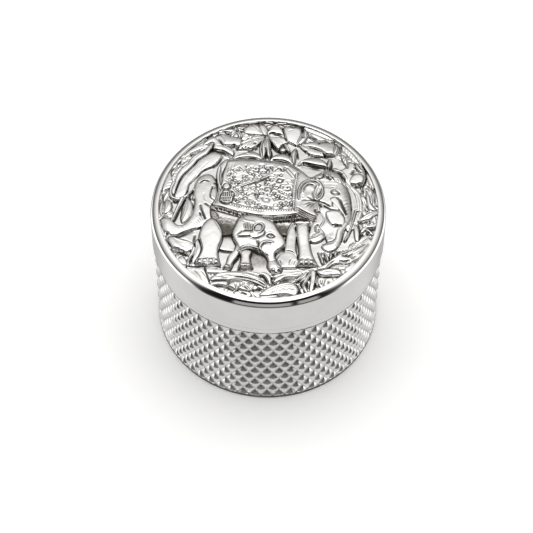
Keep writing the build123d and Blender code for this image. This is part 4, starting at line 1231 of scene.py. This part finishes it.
def relief_plate():
    h, picture_oxide_and_shade = draw()
    rr = np.hypot(GX, GY)
    # the picture sinks a little towards its own edge, where it meets the rim
    h = h * (0.72 + 0.28 * np.clip((PICTURE_R - rr) / 1.1, 0, 1))
    n = PLATE_CELLS + 1
    g = np.linspace(-1, 1, n)
    sx, sy = np.meshgrid(g, g)
    x = PICTURE_R * sx * np.sqrt(1 - sy**2 / 2)
    y = PICTURE_R * sy * np.sqrt(1 - sx**2 / 2)

    def sample(field):
        fx, fy = (x + HALF) / STEP, (y + HALF) / STEP
        i, j = np.clip(fy.astype(int), 0, N - 2), np.clip(fx.astype(int), 0, N - 2)
        u, v = fx - j, fy - i
        return (field[i, j] * (1 - u) + field[i, j + 1] * u) * (1 - v) + (field[i + 1, j] * (1 - u) + field[i + 1, j + 1] * u) * v

    z = PICTURE_FLOOR + PICTURE_DOME * (1 - (x * x + y * y) / PICTURE_R**2) + sample(h)
    z = np.minimum(z, PICTURE_TOP - 0.02)
    top = np.stack([x, y, z], -1).reshape(-1, 3)
    marks = sample(picture_oxide_and_shade).ravel()
    i, j = np.meshgrid(np.arange(n - 1), np.arange(n - 1), indexing="ij")
    v = i * n + j
    quads = np.stack([v, v + 1, v + n + 1, v + n], -1).reshape(-1, 4)
    # round the edge, anticlockwise from above
    edge = np.concatenate([np.arange(n - 1), (np.arange(n - 1) + 1) * n - 1, n * n - 1 - np.arange(n - 1), (n - 1 - np.arange(n - 1)) * n])
    m = len(edge)
    ang = np.arctan2(top[edge, 1], top[edge, 0])
    c, s = np.cos(ang), np.sin(ang)
    rings = [(PICTURE_R, LIP_Z), (PLATE_R, LIP_Z), (PLATE_R, PLATE_SEAT), (HOLLOW_R, PLATE_SEAT), (HOLLOW_R, PLATE_SEAT + 0.35), (HOLLOW_R - 0.15, PLATE_SEAT + 0.5)]
    verts, faces, prev = [top], [quads], edge
    at = len(top)
    for r, zz in rings:
        verts.append(np.stack([r * c, r * s, np.full(m, zz)], 1))
        new = np.arange(m) + at
        faces.append(np.stack([prev, new, np.roll(new, -1), np.roll(prev, -1)], 1))
        prev, at = new, at + m
    verts.append(np.array([[0, 0, PLATE_SEAT + 0.5]]))
    fan = np.stack([prev, np.full(m, at), np.roll(prev, -1)], 1)
    verts = np.concatenate(verts)
    marks = np.concatenate([marks, np.zeros(len(verts) - len(marks))])
    return make_mesh("relief_plate_struck", verts, [np.concatenate(faces), fan], 75, marks={"picture_oxide_and_shade": marks})


# ---- finishes --------------------------------------------------------------
class Nodes:
    """Short forms for building a node tree."""

    def __init__(self, tree):
        self.tree = tree

    def add(self, kind, **inputs):
        n = self.tree.nodes.new(kind)
        for key, value in inputs.items():
            self.put(n, key, value)
        return n

    def put(self, n, key, value):
        socket = n.inputs[key] if isinstance(key, str) and key in n.inputs else None
        if socket is None:
            setattr(n, key, value)
        elif isinstance(value, bpy.types.NodeSocket):
            self.tree.links.new(value, socket)
        else:
            socket.default_value = value

    def math(self, op, a, b=None):
        n = self.tree.nodes.new("ShaderNodeMath")
        n.operation = op
        for k, value in enumerate((a, b)):
            if isinstance(value, bpy.types.NodeSocket):
                self.tree.links.new(value, n.inputs[k])
            elif value is not None:
                n.inputs[k].default_value = value
        return n.outputs[0]

    def spread(self, value, a, b, lo=0.0, hi=1.0, smooth=True):
        n = self.tree.nodes.new("ShaderNodeMapRange")
        n.interpolation_type = "SMOOTHSTEP" if smooth else "LINEAR"
        self.tree.links.new(value, n.inputs["Value"])
        for key, x in (("From Min", a), ("From Max", b), ("To Min", lo), ("To Max", hi)):
            n.inputs[key].default_value = x
        return n.outputs["Result"]

    def blend(self, share, a, b):
        n = self.tree.nodes.new("ShaderNodeMix")
        n.data_type = "RGBA"
        for k, value in ((0, share), (6, a), (7, b)):
            if isinstance(value, bpy.types.NodeSocket):
                self.tree.links.new(value, n.inputs[k])
            else:
                n.inputs[k].default_value = value if k == 0 else (*value, 1)
        return n.outputs[2]


def noise(t, where, scale, detail=3.0, rough=0.55, stretch=(1, 1, 1)):
    m = t.add("ShaderNodeMapping", Vector=where, Scale=stretch)
    return t.add("ShaderNodeTexNoise", Vector=m.outputs[0], Scale=scale, Detail=detail, Roughness=rough).outputs["Fac"]


def silver(name, bright, dull, rough, grain=(1, 1, 1), grain_scale=900.0, grain_depth=0.02, mark=None, oxide_and_shade=(0.10, 0.092, 0.08), mark_range=(0.0, 1.0), dark_mark_rough=0.34):
    """Polished silver: faint clouding, hairline scratches along grain, and a dark colour where a mark says so: oxide,
    painted shade, and the two together, as each material's mark holds.
    """
    mat = bpy.data.materials.new(name)
    mat.use_nodes = True
    tree = mat.node_tree
    tree.nodes.clear()
    t = Nodes(tree)
    where = t.add("ShaderNodeTexCoord").outputs["Object"]
    cloud = noise(t, where, 190.0, 3.0)
    hair = noise(t, where, grain_scale, 2.0, 0.6, grain)
    colour = t.blend(t.spread(cloud, 0.32, 0.70), bright, dull)
    r = t.spread(noise(t, where, 420.0, 4.0), 0.3, 0.75, rough[0], rough[1])
    r = t.math("ADD", r, t.spread(hair, 0.55, 0.8, 0.0, 0.05))
    if mark:
        m = t.add("ShaderNodeAttribute", attribute_type="GEOMETRY", attribute_name=mark).outputs["Fac"]
        ragged = t.math("ADD", m, t.spread(noise(t, where, 1500.0, 3.0), 0.2, 0.8, -0.10, 0.10, False))
        share = t.spread(ragged, *mark_range)
        colour = t.blend(share, colour, oxide_and_shade)
        r = t.math("ADD", r, t.spread(ragged, *mark_range, 0.0, dark_mark_rough))
    bump = t.add("ShaderNodeBump", Strength=grain_depth, Distance=0.0002, Height=hair).outputs[0]
    b = t.add("ShaderNodeBsdfPrincipled", Metallic=1.0, Roughness=r, Normal=bump)
    t.put(b, "Base Color", colour)
    out = t.add("ShaderNodeOutputMaterial")
    tree.links.new(b.outputs[0], out.inputs["Surface"])
    return mat


# painted shade: the polished and satin finishes darken at the seam, under the shoulder's edge and round the foot; the
# knurl's grooves and the picture's hollows darken with oxide, the picture also with painted shade
POLISHED = silver("silver_polished", (0.655, 0.65, 0.64), (0.625, 0.62, 0.61), (0.05, 0.10), (40, 40, 2500), 6.0, 0.02, "painted_shade", (0.06, 0.057, 0.053), (0.15, 1.0), 0.2)
KNURLED = silver("silver_knurled", (0.64, 0.635, 0.625), (0.59, 0.585, 0.575), (0.10, 0.17), (1, 1, 1), 1200.0, 0.05, "groove_oxide_and_shade", (0.42, 0.41, 0.39), (0.55, 1.25), 0.15)
STRUCK = silver("silver_oxidised", (0.62, 0.612, 0.598), (0.55, 0.542, 0.525), (0.13, 0.22), (1, 1, 1), 1400.0, 0.06, "picture_oxide_and_shade", (0.075, 0.068, 0.058), (0.10, 0.85), 0.30)
SATIN = silver("silver_satin", (0.79, 0.785, 0.775), (0.76, 0.755, 0.745), (0.22, 0.27), (30, 30, 2500), 6.0, 0.06, "painted_shade", (0.07, 0.068, 0.065), (0.15, 0.8), 0.2)

# ---- pieces ----------------------------------------------------------------
for make, node, body, slot, mat in (
    (base_plate, "base_plate", "box", "silver_satin", SATIN),
    (knurled_sleeve, "knurled_sleeve", "box", "silver_knurled", KNURLED),
    (shoulder_ring, "shoulder_ring", "box", "silver_polished", POLISHED),
    (inner_sleeve, "inner_sleeve", "box", "silver_satin", SATIN),
    (lid_band, "lid_band", "lid", "silver_polished", POLISHED),
    (relief_plate, "relief_plate", "lid", "silver_oxidised", STRUCK),
    (lid_backing, "lid_backing", "lid", "silver_satin", SATIN),
):
    piece = make()
    piece.data.materials.append(mat)
    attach(piece, body)
    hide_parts(node)

# ---- stage -------------------------------------------------------------------
FLOOR_GLOW = 0.10
floor_mesh = bpy.data.meshes.new("floor")
s = 3.0
floor_mesh.from_pydata([(-s, -s, 0), (s, -s, 0), (s, s, 0), (-s, s, 0)], [], [(0, 1, 2, 3)])
floor = bpy.data.objects.new("floor", floor_mesh)
bpy.context.scene.collection.objects.link(floor)
fmat = bpy.data.materials.new("pale_floor")
fmat.use_nodes = True
fb = fmat.node_tree.nodes["Principled BSDF"]
fb.inputs["Base Color"].default_value = (0.97, 0.97, 0.97, 1)
fb.inputs["Roughness"].default_value = 0.9
fb.inputs["Specular IOR Level"].default_value = 0.0
fb.inputs["Emission Color"].default_value = (1, 1, 1, 1)
fb.inputs["Emission Strength"].default_value = FLOOR_GLOW
floor_mesh.materials.append(fmat)
floor.visible_glossy = False  # the silver mirrors the tent on every side, below as above

# a white tent, brightest overhead, with a dark opening on the camera's side and a thin dark line along the floor
def sin_deg(a):
    return math.sin(math.radians(a))


world = bpy.data.worlds.new("tent")
bpy.context.scene.world = world
world.use_nodes = True
wt = world.node_tree
wt.nodes.clear()
w = Nodes(wt)
way = w.add("ShaderNodeTexCoord").outputs["Generated"]
x, y, z = w.add("ShaderNodeSeparateXYZ", Vector=way).outputs
az = w.math("MULTIPLY", w.math("ARCTAN2", x, w.math("MULTIPLY", y, -1.0)), 180 / math.pi)


def between(value, a0, a1, b1, b0):
    """1 from a1 to b1, falling to 0 at a0 and b0."""
    return w.math("MULTIPLY", w.spread(value, a0, a1), w.spread(value, b1, b0, 1.0, 0.0))


TENT_LOW, TENT_SIDE, TENT_TOP = 0.24, 1.50, 2.80
TABLE, TABLE_SIDE, TABLE_BACK = 0.93, 1.9, 0.54
OPENING, OPENING_LOW, PANEL, EDGE = 0.015, 0.30, 0.55, 0.10


def mixed(share, a, b):
    """a where share is 0, b where it is 1."""
    keep = w.math("SUBTRACT", 1.0, share)
    return w.math("ADD", w.math("MULTIPLY", a, keep), w.math("MULTIPLY", b, share))


rise = w.math("POWER", w.spread(z, sin_deg(4), sin_deg(55), 0.0, 1.0, False), 2.2)
sky = w.math("ADD", w.math("ADD", w.math("MULTIPLY", rise, TENT_SIDE - TENT_LOW), TENT_LOW), w.spread(z, sin_deg(56), sin_deg(74), 0.0, TENT_TOP - TENT_SIDE))
lobes = w.math("ADD", between(az, 52, 72, 118, 142), between(az, -142, -118, -72, -52))
near = between(az, -155, -110, 110, 155)
table = mixed(w.spread(z, sin_deg(-47), sin_deg(-36)), mixed(near, TABLE_BACK, TABLE), mixed(lobes, TABLE_BACK, TABLE_SIDE))
level = mixed(w.spread(z, sin_deg(-4), sin_deg(1)), table, sky)
level = mixed(between(z, sin_deg(-6), sin_deg(-1), sin_deg(3), sin_deg(11)), level, EDGE)
front = between(az, -74, -50, 46, 70)
opening = w.math("MULTIPLY", front, between(z, sin_deg(-50), sin_deg(-44), sin_deg(56), sin_deg(66)))
panel = w.math("MULTIPLY", w.math("ADD", between(az, -28, -25, 17, 20), between(az, 23, 25, 38, 42)), between(z, sin_deg(-22), sin_deg(-17), sin_deg(22), sin_deg(31)))
dim = w.spread(z, sin_deg(-46), sin_deg(-16), OPENING_LOW, OPENING)
dim = mixed(between(az, -58, -42, 38, 54), 0.04, dim)
level = mixed(opening, level, mixed(panel, dim, PANEL))
bg = w.add("ShaderNodeBackground", Color=(1.0, 0.995, 0.985, 1.0), Strength=level)
wo = w.add("ShaderNodeOutputWorld")
wt.links.new(bg.outputs[0], wo.inputs["Surface"])

# ---- camera, at the photograph's place ---------------------------------------
R = CREST_R * 0.001
ELEV = math.radians(54.92)
FAR = 16.917 * R
F_PX = 1902.9
target = Vector((0, 0, 0.75 * R))
back = Vector((0, -math.cos(ELEV), math.sin(ELEV)))
up = Vector((0, math.sin(ELEV), math.cos(ELEV)))
cam_data = bpy.data.cameras.new("camera")
cam = bpy.data.objects.new("camera", cam_data)
bpy.context.scene.collection.objects.link(cam)
cam_data.sensor_width = 36.0
cam_data.lens = 36.0 * F_PX / 533
cam.location = target + back * FAR
aim = target - up * (8.52 / F_PX * FAR) - Vector((1, 0, 0)) * (1.37 / F_PX * FAR)
turn = (aim - cam.location).to_track_quat("-Z", "Y").to_matrix().to_4x4()
roll = Matrix.Rotation(math.radians(0.4), 4, "Z")
cam.matrix_world = Matrix.Translation(cam.location) @ turn @ roll
cam_data.clip_start, cam_data.clip_end = 0.01, 10.0
bpy.context.scene.camera = cam

bpy.context.scene.view_settings.view_transform = "Standard"
bpy.context.scene.view_settings.look = "None"
